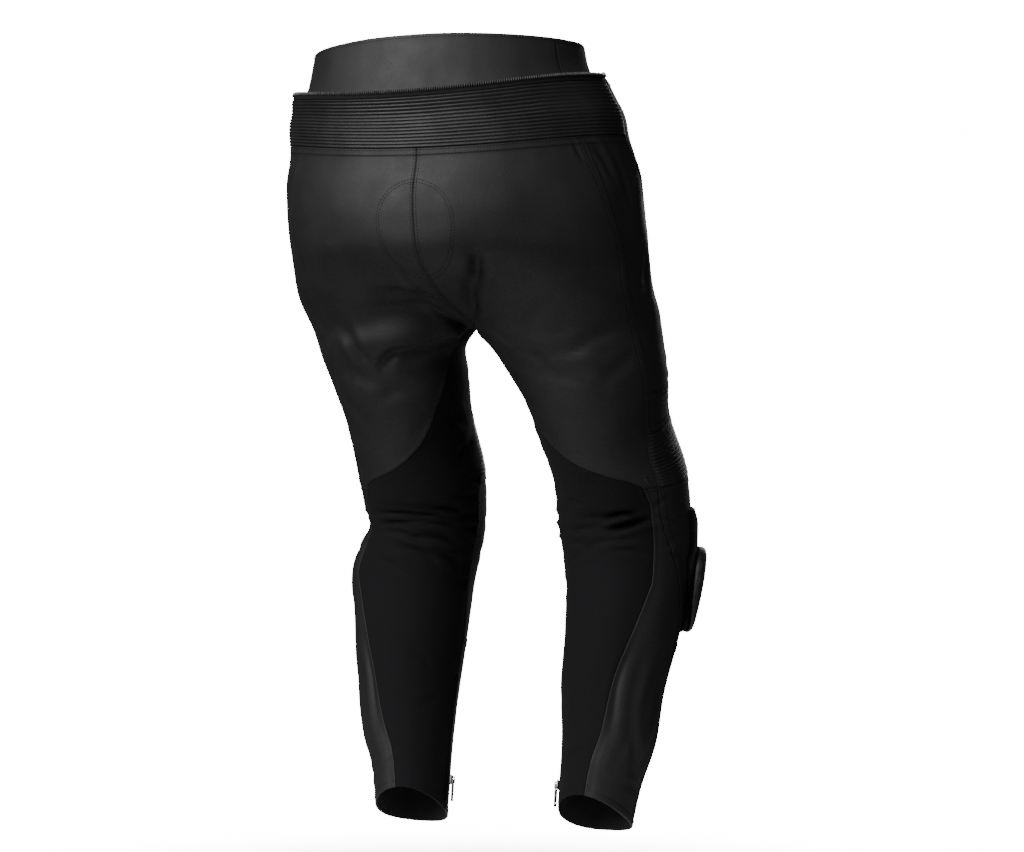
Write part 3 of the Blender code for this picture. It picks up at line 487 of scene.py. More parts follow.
def shell(name, side, around, level, raised, depth, outside, inside, flare=0.0, relief=0.0,
          extra=None):
    # a closed wall: raised is the outer face's height on the form, depth the inner face's
    outer, normal = place(side, around, level, raised, flare)
    inner, _ = place(side, around, level, depth, flare)
    rows, columns = outer.shape[:2]
    count = rows * columns
    points = np.concatenate([outer.reshape(-1, 3), inner.reshape(-1, 3)]) * mm
    i, j = np.meshgrid(np.arange(rows - 1), np.arange(columns - 1), indexing="ij")
    a = (i * columns + j).ravel()
    front = np.stack([a, a + columns, a + columns + 1, a + 1], 1)
    across = outer[:1, 1] - outer[:1, 0]
    down = outer[1:2, 0] - outer[:1, 0]
    flipped = np.dot(np.cross(down[0], across[0]), normal[0, 0]) < 0
    if flipped:
        front = front[:, ::-1]
    back = front[:, ::-1] + count
    loop = [*range(columns), *range(2 * columns - 1, count, columns),
            *range(count - 2, count - columns - 1, -1),
            *range(count - 2 * columns, 0, -columns)]
    rim = [(q, p, p + count, q + count) if flipped else (p, q, q + count, p + count)
           for p, q in zip(loop, loop[1:] + loop[:1])]
    faces = np.concatenate([front, back, np.array(rim)])
    kinds = np.zeros(len(faces), np.int32)
    kinds[len(front):2 * len(front)] = 1
    made = asObject(name, points.tolist(), faces.tolist(), (outside, inside), kinds)
    mesh = made.data
    # the piece's own cut, in metres, from arc lengths over the outer face
    plain, _ = place(side, around, level, 0.0, flare)
    du = np.linalg.norm(np.diff(plain, axis=1), axis=-1).cumsum(axis=1)
    du = np.concatenate([np.zeros((rows, 1)), du], 1)
    du -= du[:, [columns // 2]]
    dv = np.linalg.norm(np.diff(plain, axis=0), axis=-1).cumsum(axis=0)
    dv = np.concatenate([np.zeros((1, columns)), dv], 0)
    uv = np.stack([du, -dv[:, [columns // 2]] + 0 * du], -1).reshape(-1, 2) * mm
    uv = np.concatenate([uv, uv])
    layer = mesh.uv_layers.new(name="cut")
    corner = np.zeros(len(mesh.loops), np.int32)
    mesh.loops.foreach_get("vertex_index", corner)
    layer.data.foreach_set("uv", uv[corner].astype(np.float32).ravel())
    # relief: raised parts get rub wear in the finish, and hollows below zero get painted shade
    for label, value in {"relief": relief, **(extra or {})}.items():
        value = np.broadcast_to(value, (rows, columns)).ravel()
        store(mesh, label, np.concatenate([value, np.zeros(count)]))
    if extra:
        both = np.concatenate([normal.reshape(-1, 3), 0 * normal.reshape(-1, 3)])
        storeVector(mesh, "outward", both)
    quads = plain.reshape(-1, 3)[np.stack([a, a + 1, a + columns + 1, a + columns], 1)] * mm
    area = 0.5 * np.linalg.norm(np.cross(quads[:, 2] - quads[:, 0], quads[:, 3] - quads[:, 1]),
                                axis=1).sum()
    width = (du.max(axis=1) - du.min(axis=1)).max() * mm
    made["cutSize"] = [float(width), float(dv[-1].max() * mm), float(area)]
    return made


def store(mesh, label, values):
    made = mesh.attributes.new(label, "FLOAT", "POINT")
    made.data.foreach_set("value", np.asarray(values, np.float32))


def storeVector(mesh, label, values):
    made = mesh.attributes.new(label, "FLOAT_VECTOR", "POINT")
    made.data.foreach_set("vector", np.asarray(values, np.float32).ravel())


def settle(made, tree, inputs):  # a Geometry Nodes result as a plain mesh
    modifier = made.modifiers.new(tree.name, "NODES")
    modifier.node_group = tree
    for item in tree.interface.items_tree:
        if item.in_out == "INPUT" and item.name in inputs:
            modifier[item.identifier] = inputs[item.name]
    bpy.context.view_layer.update()
    result = bpy.data.meshes.new_from_object(
        made.evaluated_get(bpy.context.evaluated_depsgraph_get()))
    made.modifiers.remove(modifier)
    old = made.data
    made.data = result
    result.name = made.name
    bpy.data.meshes.remove(old)
    return made


def geometryTree(name, inputs):
    tree = bpy.data.node_groups.new(name, "GeometryNodeTree")
    tree.interface.new_socket("Geometry", in_out="INPUT", socket_type="NodeSocketGeometry")
    for label, (kind, default) in inputs.items():
        socket = tree.interface.new_socket(label, in_out="INPUT", socket_type="NodeSocket" + kind)
        if default is not None:
            socket.default_value = default
    tree.interface.new_socket("Geometry", in_out="OUTPUT", socket_type="NodeSocketGeometry")
    return tree, tree.nodes.new("NodeGroupInput"), tree.nodes.new("NodeGroupOutput")


def named(tree, label, kind):
    return node(tree, "GeometryNodeInputNamedAttribute", {"data_type": kind},
                Name=label).outputs["Attribute"]


def scaledBy(tree, vector, factor):
    return node(tree, "ShaderNodeVectorMath", {"operation": "SCALE"},
                {0: vector, "Scale": factor}).outputs[0]


def ribTree():  # raises rounded ribs along a panel; "lane" runs from 0 to 1 across them
    tree, given, out = geometryTree("ribs", {
        "Count": ("Float", 12.0), "Height": ("Float", 0.0018), "Fullness": ("Float", 0.6),
        "Finish": ("Material", None)})
    lane = calc(tree, "FRACT", calc(tree, "MULTIPLY", named(tree, "lane", "FLOAT"),
                                    given.outputs["Count"]))
    arch = calc(tree, "SINE", calc(tree, "MULTIPLY", lane, math.pi))
    full = calc(tree, "POWER", calc(tree, "MAXIMUM", arch, 0.0), given.outputs["Fullness"])
    fade = named(tree, "ribFade", "FLOAT")
    height = calc(tree, "MULTIPLY", calc(tree, "MULTIPLY", full, fade), given.outputs["Height"])
    moved = node(tree, "GeometryNodeSetPosition", Geometry=given.outputs["Geometry"],
                 Offset=scaledBy(tree, named(tree, "outward", "FLOAT_VECTOR"), height))
    real = node(tree, "GeometryNodeRealizeInstances", Geometry=moved.outputs[0])
    painted = node(tree, "GeometryNodeSetMaterial", Geometry=real.outputs[0],
                   Selection=calc(tree, "GREATER_THAN", fade, 0.001),
                   Material=given.outputs["Finish"])
    tree.links.new(painted.outputs[0], out.inputs[0])
    return tree


def beadTree():  # small rounded pieces along lines, such as stitches and zip teeth
    tree, given, out = geometryTree("beads", {
        "Pitch": ("Float", 0.0034), "Long": ("Float", 0.0026), "Wide": ("Float", 0.0005),
        "Tall": ("Float", 0.0005), "Zigzag": ("Float", 0.0), "Turn": ("Float", 0.0),
        "Uneven": ("Float", 0.1), "Seed": ("Int", 7), "Finish": ("Material", None)})
    lines = node(tree, "GeometryNodeMeshToCurve", Mesh=given.outputs["Geometry"])
    spots = node(tree, "GeometryNodeCurveToPoints", {"mode": "LENGTH"},
                 Curve=lines.outputs[0], Length=given.outputs["Pitch"])
    outward = named(tree, "outward", "FLOAT_VECTOR")
    aside = node(tree, "ShaderNodeVectorMath", {"operation": "CROSS_PRODUCT"},
                 {0: spots.outputs["Tangent"], 1: outward}).outputs[0]
    odd = calc(tree, "MODULO", node(tree, "GeometryNodeInputIndex").outputs[0], 2.0)
    swing = calc(tree, "MULTIPLY", calc(tree, "SUBTRACT", calc(
        tree, "MULTIPLY", odd, 2.0), 1.0), given.outputs["Zigzag"])
    moved = node(tree, "GeometryNodeSetPosition", Geometry=spots.outputs["Points"],
                 Offset=scaledBy(tree, aside, swing))
    level = node(tree, "FunctionNodeAlignRotationToVector", {"axis": "Z"}, Vector=outward)
    along = node(tree, "FunctionNodeAlignRotationToVector", {"axis": "X", "pivot_axis": "Z"},
                 Rotation=level.outputs[0], Vector=spots.outputs["Tangent"])
    shaky = node(tree, "FunctionNodeRandomValue", {"data_type": "FLOAT"}, {2: -1.0, 3: 1.0},
                 Seed=given.outputs["Seed"])
    angle = calc(tree, "ADD", given.outputs["Turn"],
                 calc(tree, "MULTIPLY", shaky.outputs[1], given.outputs["Uneven"]))
    spin = node(tree, "FunctionNodeAxisAngleToRotation", Axis=(0.0, 0.0, 1.0), Angle=angle)
    turned = node(tree, "FunctionNodeRotateRotation", {"rotation_space": "LOCAL"},
                  {"Rotation": along.outputs[0], "Rotate By": spin.outputs[0]})
    bead = node(tree, "GeometryNodeMeshUVSphere", Segments=6, Rings=4, Radius=0.5)
    size = node(tree, "ShaderNodeCombineXYZ", None, {
        k: given.outputs[label] for k, label in enumerate(("Long", "Wide", "Tall"))})
    planted = node(tree, "GeometryNodeInstanceOnPoints", Points=moved.outputs[0],
                   Instance=bead.outputs["Mesh"], Rotation=turned.outputs[0],
                   Scale=size.outputs[0])
    real = node(tree, "GeometryNodeRealizeInstances", Geometry=planted.outputs[0])
    soft = node(tree, "GeometryNodeSetShadeSmooth", Geometry=real.outputs[0])
    painted = node(tree, "GeometryNodeSetMaterial", Geometry=soft.outputs[0],
                   Material=given.outputs["Finish"])
    tree.links.new(painted.outputs[0], out.inputs[0])
    return tree


ribs, beads = ribTree(), beadTree()


def beadsAlong(name, lines, values):  # lines: lists of (points, normals, closed)
    points, edges, normals = [], [], []
    for spots, outs, closed in lines:
        start = len(points)
        points.extend((spots * mm).tolist())
        normals.extend(outs.tolist())
        edges.extend((start + k, start + k + 1) for k in range(len(spots) - 1))
        if closed:
            edges.append((start + len(spots) - 1, start))
    mesh = bpy.data.meshes.new(name)
    mesh.from_pydata(points, edges, [])
    storeVector(mesh, "outward", np.array(normals))
    return settle(inScene(name, mesh), beads, values)


sewing = {  # millimetres
    "lapWidth": 9.0, "lapRise": 0.55, "lapStep": 1.4, "narrowLap": 5.0, "valley": 0.75,
    "valleyWidth": 1.7, "tuckDepth": 0.35, "tuckWidth": 1.2, "hemWidth": 8.0, "hemRise": 0.4,
    "round": 0.45, "pucker": 0.26, "grid": 4.4,
    "lapRows": (2.0, 7.4), "narrowRows": (1.8,), "meetRows": (3.4,), "hemRows": (6.4,),
    "ovalWide": 46.0, "ovalTall": 60.0, "ovalLevel": -180.0, "ovalRows": (1.0, 0.93),
}
bandSteps = np.array([0.0, 0.3, 0.7, 1.2, 2.0, 3.0, 4.5, 6.3, 7.6, 8.6, 9.4, 12.0])


def edgeShape(kind, d, along):  # height beside one edge of a panel: what it rises and falls
    s = sewing
    turned = s["round"] - np.sqrt(np.maximum(s["round"]**2 - np.maximum(s["round"] - d, 0)**2, 0))
    pucker = s["pucker"] * np.exp(-d / 8) * waver(along / 2.6, along / 7.1, 3.0)
    if kind in ("lap", "narrow"):
        width = s["lapWidth"] if kind == "lap" else s["narrowLap"]
        return s["lapRise"] * ease((width - d) / s["lapStep"]), pucker - turned
    if kind == "hem":
        return s["hemRise"] * ease((s["hemWidth"] - d) / s["lapStep"]), pucker - turned
    if kind == "meet":
        return 0 * d, pucker - s["valley"] * (1 - ease(d / s["valleyWidth"]))
    if kind == "under":
        return 0 * d, pucker - s["tuckDepth"] * (1 - ease(d / s["tuckWidth"]))
    return 0 * d, 0 * d


def widthAt(side, line, level):  # millimetres to a degree, square to the seam line
    around = seamAt(line, level)
    perDegree = degreeWidth(side, around, level)
    slope = (seamAt(line, level - 2) - seamAt(line, level + 2)) * perDegree / 4
    return perDegree, np.sqrt(1 + np.minimum(np.abs(slope), 3.0) ** 2)


def panelGrid(panel):
    side, top, bottom = panel["side"], panel["top"], panel["bottom"]
    band = bandSteps
    tall = top - bottom
    rowStep = panel.get("rowStep", sewing["grid"])
    rowBand = band * min(1.0, tall / 40)
    middle = np.linspace(top - rowBand[-1], bottom + rowBand[-1],
                         max(4, int((tall - 2 * rowBand[-1]) / rowStep)))[1:-1]
    level = np.concatenate([top - rowBand, middle, (bottom + rowBand)[::-1]])[:, None]
    first, last = seamAt(panel["back"], level), seamAt(panel["front"], level)
    perBack, stretchBack = widthAt(side, panel["back"], level)
    perFront, stretchFront = widthAt(side, panel["front"], level)
    perMean = (perBack + perFront) / 2
    wide = (last - first) * perMean
    scale = np.minimum(1.0, wide / (2 * band[-1] + 8))
    count = max(4, int((wide.max() - 2 * band[-1]) / sewing["grid"]))
    near = first + (band * scale) * stretchBack / perBack
    far = last - (band[::-1] * scale) * stretchFront / perFront
    t = np.linspace(0, 1, count)[1:-1]
    between = near[:, [-1]] + (far[:, [0]] - near[:, [-1]]) * t
    around = np.concatenate([near, between, far], 1)
    level = np.broadcast_to(level, around.shape).copy()
    return around, level, (around - first) * perBack / stretchBack, (
        last - around) * perFront / stretchFront


def edgeKind(kinds, level):  # a kind, or (kind above, level, kind below)
    if isinstance(kinds, str):
        return [(kinds, np.ones_like(level))]
    above = ease((level - kinds[1]) / 6 + 0.5)
    return [(kinds[0], above), (kinds[2], 1 - above)]


def panelRelief(panel, level, dBack, dFront):
    distances = (dBack, dFront, panel["top"] - level, level - panel["bottom"])
    around = dBack * 0.9
    rises, falls = [], []
    for kinds, d, along in zip(panel["edges"], distances, (level, level, around, around)):
        rise, fall = np.zeros_like(level), np.zeros_like(level)
        for kind, share in edgeKind(kinds, level):
            up, down = edgeShape(kind, np.maximum(d, 0), along)
            rise, fall = rise + share * up, fall + share * down
        rises.append(rise)
        falls.append(fall)
    return np.max(rises, 0) + np.min(falls, 0) + np.maximum(np.max(falls, 0), 0)


stitchLines = []


def addStitches(panel, flare):  # rows of stitches beside each edge
    rowsOf = {"lap": sewing["lapRows"], "narrow": sewing["narrowRows"],
              "meet": sewing["meetRows"], "hem": sewing["hemRows"]}
    side, top, bottom = panel["side"], panel["top"], panel["bottom"]
    for which, kinds in enumerate(panel["edges"]):
        parts = [(kinds, top, bottom)] if isinstance(kinds, str) else [
            (kinds[0], top, kinds[1]), (kinds[2], kinds[1], bottom)]
        for kind, high, low in parts:
            for off in rowsOf.get(kind, ()):
                if which < 2:
                    level = np.linspace(high - 1.5, low + 1.5, max(3, int((high - low) / 5)))
                    line = panel["back"] if which == 0 else panel["front"]
                    per, stretch = widthAt(side, line, level)
                    turn = seamAt(line, level) + (1 - 2 * which) * off * stretch / per
                else:
                    level = top - off if which == 2 else bottom + off
                    ends = [seamAt(panel[k], level) for k in ("back", "front")]
                    turn = np.linspace(ends[0] + 0.6, ends[1] - 0.6,
                                       max(3, int(abs(ends[1] - ends[0]) / 2.5)))
                    level = np.full_like(turn, level)
                first, last = seamAt(panel["back"], level), seamAt(panel["front"], level)
                perBack, sBack = widthAt(side, panel["back"], level)
                perFront, sFront = widthAt(side, panel["front"], level)
                keep = (turn > first - 0.01) & (turn < last + 0.01)
                if keep.sum() < 3:
                    continue
                height = panelRelief(panel, level, (turn - first) * perBack / sBack,
                                     (last - turn) * perFront / sFront)
                spots, outs = place(side, turn[keep], level[keep], height[keep] + 0.12,
                                    (flare(turn, level)[keep] if flare else 0.0))
                stitchLines.append((spots, outs, False))


def standFor(made, nodeName, body="garment"):  # in place of one of the frame's nodes
    if "cutSize" in made:
        del made["cutSize"]
    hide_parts(nodeName)
    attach(made, body)


def declare(made, nodeName):
    width, length, area = made["cutSize"]
    standFor(made, nodeName)
    width, length = max(width, 0.0101), max(length, 0.0101)
    print(f"cut {nodeName}: {width:.3f} x {length:.3f} m, {area:.4f} m2")


panelNodes = {"seat": "seat", "thighSide": "thigh_side", "front": "front",
              "kneeBand": "knee_band", "kneeRibs": "knee_accordion", "kneeShield": "knee_shield",
              "shin": "shin", "calf": "calf", "stretch": "stretch"}


def legPanel(stem, hand, side, top, bottom, back, front, edges, outside, slotName, thickness,
             inside="hideInside", flare=None, ribCount=0, hangsFrom=()):
    panel = {"side": side, "top": top, "bottom": bottom, "back": back, "front": front,
             "edges": edges}
    if ribCount:
        panel["rowStep"] = (top - bottom) / ribCount / 8
    around, level, dBack, dFront = panelGrid(panel)
    raised = panelRelief(panel, level, dBack, dFront)
    depth = np.minimum(-thickness, raised - 0.7)
    extra = None
    if ribCount:
        ends = ease(np.minimum(dBack, dFront) / 9.0)
        extra = {"lane": (top - level) / (top - bottom), "ribFade": ends + 0.002}
    made = shell(stem + "Cloth_" + hand, side, around, level, raised, depth, outside, inside,
                 flare(around, level) if flare else 0.0, raised - 0.35 * (raised > 0.2), extra)
    if ribCount:
        settle(made, ribs, {"Count": float(ribCount), "Height": 0.0016, "Fullness": 0.5,
                            "Finish": skins[outside]})
    addStitches(panel, flare)
    declare(made, panelNodes[stem] + "_" + hand)
    return made


def makeLeg(side, hand):
    c = cut
    middleToStretch = [(0, -90), (c["crotch"], -90), *seams["stretchBack"]]
    stretchToMiddle = [(0, 270), (c["crotch"], 270), *seams["stretchFront"]]
    wholeTurn = [(v, a - 360) for v, a in stretchToMiddle]
    sideBack, sideFront, stretchBack = (
        seams[k] for k in ("sideBack", "sideFront", "stretchBack"))
    leather = {"outside": "blackLeather", "slotName": "black_leather", "thickness": c["leather"]}
    ribbed = {**leather, "outside": "ribbedLeather", "slotName": "ribbed_leather",
              "ribCount": 15}
    cloth = {"outside": "stretchCloth", "inside": "stretchCloth", "slotName": "stretch_cloth",
             "thickness": c["stretch"]}
    # stem, top, bottom, seams at the back and front, edges (back, front, top, bottom),
    # what it hangs from, make
    for stem, top, bottom, back, front, edges, above, make in (
            ("seat", c["ribbonBottom"], c["kneeRibBottom"], middleToStretch, sideBack,
             (("meet", c["crotch"], "narrow"), "under", "lap", "meet"), "backRibs", leather),
            ("thighSide", c["ribbonBottom"], c["kneeBandTop"], sideBack, sideFront,
             ("lap", "lap", "lap", "under"), "backRibs", leather),
            ("front", c["skirtTop"], c["kneeRibTop"], sideFront, stretchToMiddle,
             ("under", ("meet", c["crotch"], "narrow"), "hem", "lap"), "joiningZipTape",
             {**leather, "flare": skirt}),
            ("kneeBand", c["kneeBandTop"], c["kneeRibTop"], sideBack, sideFront,
             ("meet", "meet", "lap", "lap"), "thighSideCloth_" + hand, leather),
            ("kneeRibs", c["kneeRibTop"], c["kneeRibBottom"], sideBack, stretchToMiddle,
             ("under", "under", "under", "under"), "frontCloth_" + hand, ribbed),
            ("kneeShield", c["kneeRibBottom"], c["shieldBottom"], sideBack, stretchToMiddle,
             ("lap", "narrow", "lap", "lap"), "kneeRibsCloth_" + hand, leather),
            ("shin", c["shieldBottom"], c["hem"], sideBack, stretchToMiddle,
             ("meet", "narrow", "under", "hem"), "kneeShieldCloth_" + hand, leather),
            ("calf", c["kneeRibBottom"], c["hem"], stretchBack, sideBack,
             ("narrow", "meet", "meet", "hem"), "seatCloth_" + hand, leather),
            ("stretch", c["crotch"] - 3, c["hem"], wholeTurn, stretchBack,
             ("under", "under", "meet", "hem"), "seatCloth_" + hand, cloth)):
        legPanel(stem, hand, side, top, bottom, back, front, edges, hangsFrom=[above], **make)


for side, hand in ((1, "left"), (-1, "right")):
    makeLeg(side, hand)
print("leg panels made")

waist = {"inset": 3.0, "sideStart": 65.0, "sideEnd": 105.0, "bottom": -33.0, "seamGap": 0.3,
         "backEnd": 89.8, "ribCount": 15, "ribTop": -24.0, "ribHeight": 0.0018,
         "teethPitch": 0.0026, "tooth": (0.0050, 0.0012, 0.0020)}


def hipGrid(start, end, step):  # round the waist in degrees from centre back, left positive
    count = max(4, int(abs(end - start) / step))
    turn = np.linspace(start, end, count)[None, :]
    return np.where(turn < 0, -1.0, 1.0), 2 * np.abs(turn) - 90, turn


def waistPiece(name, start, end, outside, nodeName, ends, inside="hideInside"):
    lead = np.array([0.0, 0.2, 0.5, 1.0, 1.6, 2.4])
    count = int((end - start - 4.8) / 1.4)
    turn = np.concatenate([start + lead, np.linspace(start + 2.4, end - 2.4, count)[1:-1],
                           (end - lead)[::-1]])[None, :]
    topRows = cut["waistTop"] - np.array([0.0, 0.3, 0.8, 1.6, 3.0, 5.0, 7.2, 8.2, 9.4])
    level = np.concatenate([topRows, np.arange(18.0, -30.0, -4.0), [waist["bottom"]]])
    level = level[:, None]
    side = np.where(turn < 0, -1.0, 1.0) + 0 * level
    around = 2 * np.abs(turn) - 90 + 0 * level
    level = level + 0 * turn
    perDegree = 3.0
    rise, fall = edgeShape("hem", 2.0 * (cut["waistTop"] - level), turn * perDegree)
    for kind, d in zip(ends, ((turn - start) * perDegree, (end - turn) * perDegree)):
        up, down = edgeShape(kind, d + 0 * level, level)
        rise, fall = np.maximum(rise, up), np.minimum(fall, down)
    shape = rise + fall
    made = shell(name, side, around, level, shape - waist["inset"],
                 -waist["inset"] - cut["waistband"], outside, inside, relief=shape)
    declare(made, nodeName)
    spots, outs = place(side[0], around[0], cut["waistTop"] - 3.2, 0.45 - waist["inset"])
    stitchLines.append((spots, outs, False))
    return made


g = waist["seamGap"] / 2
waistPiece("waistbandBack", -waist["sideStart"] + g, waist["sideStart"] - g, "blackLeather",
           "waistband_back", ("meet", "meet"))
for side, hand in ((1, "left"), (-1, "right")):
    spans = (("Side", waist["sideStart"] + g, waist["sideEnd"] - g, "elastic", "elastic",
              "waistband_side_", ("under", "under"), "elastic"),
             ("Front", waist["sideEnd"] + g, 180.0 - 0.12, "blackLeather", "black_leather",
              "waistband_front_", ("lap", "lap"), "hideInside"))
    for stem, start, end, outside, slotName, nodeStem, ends, inside in spans:
        if side < 0:
            start, end = -end, -start
        waistPiece("waistband" + stem + "_" + hand, start, end, outside,
                   nodeStem + hand, ends, inside)


def backBand(name, top, bottom, rowCount, raisedOf, depth, outside, extra=None):
    sideOf, around, turn = hipGrid(-waist["backEnd"], waist["backEnd"], 0.9)
    level = np.linspace(top, bottom, rowCount)[:, None]
    side, around, turn = sideOf + 0 * level, around + 0 * level, turn + 0 * level
    level = level + 0 * turn
    raised = raisedOf(turn, level)
    return shell(name, side, around, level, raised, depth, outside, outside,
                 skirt(around, level), raised, extra(turn, level) if extra else None)


def accordionHeight(turn, level):
    d = np.minimum(waist["ribTop"] - level, level - cut["ribbonBottom"])
    ends = (waist["backEnd"] - np.abs(turn)) * 3.3
    return -0.9 * (1 - ease(d / 1.5)) - 0.8 * (1 - ease(ends / 4.0))


def accordionLanes(turn, level):
    top, bottom = waist["ribTop"], cut["ribbonBottom"]
    drift = 0.10 * waver(turn / 9, level / 40, 2.0) / waist["ribCount"]
    lane = (top - level) / (top - bottom)
    bow = drift * np.sin(np.clip(lane, 0, 1) * math.pi)
    fade = ease((waist["backEnd"] - np.abs(turn)) * 3.3 / 14.0)
    return {"lane": np.clip(lane + bow, 0, 0.99999),
            "ribFade": 0.002 + fade * (1 + 0.12 * waver(turn / 5, level / 9, 6.0))}


backRibs = backBand("backRibs", waist["ribTop"], cut["ribbonBottom"] + 0.2,
                    waist["ribCount"] * 8 + 1, accordionHeight, -cut["leather"], "ribbedLeather",
                    accordionLanes)
settle(backRibs, ribs, {"Count": float(waist["ribCount"]), "Height": waist["ribHeight"],
                        "Fullness": 0.5, "Finish": skins["ribbedLeather"]})
declare(backRibs, "back_accordion")


def tapeHeight(turn, level):
    top = cut["skirtTop"]
    return 0.4 + 0.7 * ease((level - (top - 2.5)) / 1.6) - 0.8 * ease((level - top - 0.8) / 1.4)


joiningTape = backBand("joiningZipTape", cut["skirtTop"] + 2.4, waist["ribTop"] + 0.4, 14,
                       tapeHeight, -1.5, "zipTape")
standFor(joiningTape, "joining_zip")
print("waist made")

zips = {"legAround": 269.6, "halfWidth": 5.0, "pitch": 0.0011,
        "bar": (0.0030, 0.0009, 0.0013), "zigzag": 0.0007}


def zipLine(side, around, top, bottom, raised, step=4.0):
    level = np.linspace(top, bottom, max(3, int((top - bottom) / step)))
    spots, outs = place(side, around, level, raised)
    return spots, outs, False


def closedZip(name, side, around, top, bottom, halfWidth, nodeName):
    level = np.linspace(top, bottom, int((top - bottom) / 3))[:, None]
    perDegree = degreeWidth(side, around, level)
    x = np.array([-1.0, -0.94, -0.8, -0.55, -0.42, -0.3, 0.0, 0.3, 0.42, 0.55, 0.8, 0.94, 1.0])
    turn = around + x * halfWidth / perDegree
    chain = ease((0.5 - np.abs(x)) / 0.12)
    raised = 1.1 + 0.9 * chain - 0.5 * (np.abs(x) > 0.97) + 0 * level
    made = shell(name, side + 0 * turn, turn, level + 0 * turn, raised, 0.3, "zipTape",
                 "zipTape", relief=raised - 1.4)
    standFor(made, nodeName)


teethLines = []
for side, hand in ((1, "left"), (-1, "right")):
    top, bottom = cut["legZipTop"], cut["hem"] + 6
    closedZip("legZipTape_" + hand, side, zips["legAround"], top, bottom, zips["halfWidth"],
              "leg_zip_" + hand)
    teethLines.append(zipLine(side, zips["legAround"], top - 1, bottom + 1, 2.2))


def flyTape():
    level = np.linspace(cut["skirtTop"] - 3, cut["flyBottom"], 52)[:, None]
    x = np.array([-4.5, -4.2, -3.4, -2.2, -1.5, -0.7, 0.7, 1.5, 2.2, 3.4, 4.2, 4.5])
    side = np.sign(x) + 0 * level
    around = 270 - np.abs(x) + 0 * level
    raised = 1.0 + 0.9 * ease((2.4 - np.abs(x)) / 0.8) - 0.5 * (np.abs(x) > 4.3) + 0 * level
    made = shell("flyZipTape", side, around, level + 0 * around, raised, 0.3, "zipTape",
                 "zipTape", relief=raised - 1.4)
    standFor(made, "fly_zip")


flyTape()
teethLines.append(zipLine(1, 269.95, cut["skirtTop"] - 4, cut["flyBottom"] + 1, 2.2))
long, wide, tall = zips["bar"]
closedTeeth = beadsAlong("closedZipTeeth", teethLines, {
    "Pitch": zips["pitch"], "Long": long, "Wide": wide, "Tall": tall,
    "Zigzag": zips["zigzag"], "Turn": math.pi / 2, "Uneven": 0.02, "Seed": 3,
    "Finish": skins["zipTeeth"]})

turn = np.linspace(-89.4, 89.4, 220)
joinSide, joinAround = np.where(turn < 0, -1.0, 1.0), 2 * np.abs(turn) - 90
joinLevel = np.full_like(turn, cut["skirtTop"] + 0.5)
spots, outs = place(joinSide, joinAround, joinLevel, 1.9, skirt(joinAround, joinLevel))
long, wide, tall = waist["tooth"]
joinTeeth = beadsAlong("joiningZipTeeth", [(spots, outs, False)], {
    "Pitch": waist["teethPitch"], "Long": long, "Wide": wide, "Tall": tall, "Zigzag": 0.0,
    "Turn": math.pi / 2, "Uneven": 0.03, "Seed": 5, "Finish": skins["zipTeeth"]})

# the stitched oval over the seat, one row beside the other
for scale in sewing["ovalRows"]:
    t = np.linspace(0, 2 * math.pi, 120, endpoint=False)
    x = sewing["ovalWide"] * scale * np.sin(t)
    level = sewing["ovalLevel"] + sewing["ovalTall"] * scale * np.cos(t)
    per, _ = widthAt(1, [(0, -90), (-300, -90)], level)
    spots, outs = place(np.where(x < 0, -1.0, 1.0), -90 + np.abs(x) / per, level, 0.1)
    stitchLines.append((spots, outs, True))
stitching = beadsAlong("stitching", stitchLines, {
    "Pitch": 0.0036, "Long": 0.0028, "Wide": 0.0007, "Tall": 0.0006, "Zigzag": 0.0,
    "Turn": 0.0, "Uneven": 0.08, "Seed": 11, "Finish": skins["sewingThread"]})
for made, slotName in ((closedTeeth, "zip_tape"), (joinTeeth, "zip_tape"),
                       (stitching, "black_leather")):
    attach(made, "garment")
print("stitches and teeth made:", len(stitching.data.polygons), "faces of thread")

knee = {"pad": 8.5, "padRound": 2.6, "padTop": -506.0, "padBottom": -642.0,
        "padFrom": 0.1, "padTo": 0.4, "cornerTop": -540.0, "cornerBottom": -572.0,
        "cornerIn": 0.09, "padEdge": 0.62, "padRise": 16.0,
        "puckAround": 122.0, "puckLevel": -594.0, "puckWide": 38.0, "puckTall": 46.0, "puckTaper": 0.28}


def kneePad(side, hand):
    k = knee
    steps = np.array([0, 0.3, 0.8, 1.6, 2.6, 4.0])
    level = np.concatenate([k["padTop"] - steps, np.arange(k["padTop"] - 7, k["padBottom"] + 6, -3.4),
                            (k["padBottom"] + steps)[::-1]])[:, None]
    first, last = (seamAt(seams[k], level) for k in ("sideBack", "stretchFront"))
    per, _ = widthAt(side, seams["sideBack"], level)
    corner = ease((level - k["cornerBottom"]) / (k["cornerTop"] - k["cornerBottom"]))
    start = first + (last - first) * (k["padFrom"] + k["cornerIn"] * corner)
    end = first + (last - first) * k["padTo"]
    lead = steps / per
    t = np.linspace(0, 1, 26)[1:-1]
    inner = start + lead[:, -1:] + (end - start - 2 * lead[:, -1:]) * t
    around = np.concatenate([start + lead, inner, (end - lead)[:, ::-1]], 1)
    level = level + 0 * around
    d = np.minimum(np.minimum((around - start) * per, (end - around) * per),
                   np.minimum(k["padTop"] - level, level - k["padBottom"]))
    r = k["padRound"]
    drop = r - np.sqrt(np.maximum(r * r - np.maximum(r - d, 0) ** 2, 0))
    raised = k["pad"] * (k["padEdge"] + (1 - k["padEdge"]) * ease(d / k["padRise"])) - drop
    made = shell("kneePadPile_" + hand, side, around, level, raised, 0.5, "loopPile", "loopPile",
                 relief=0.4 - drop)
    standFor(made, "knee_pad_" + hand)


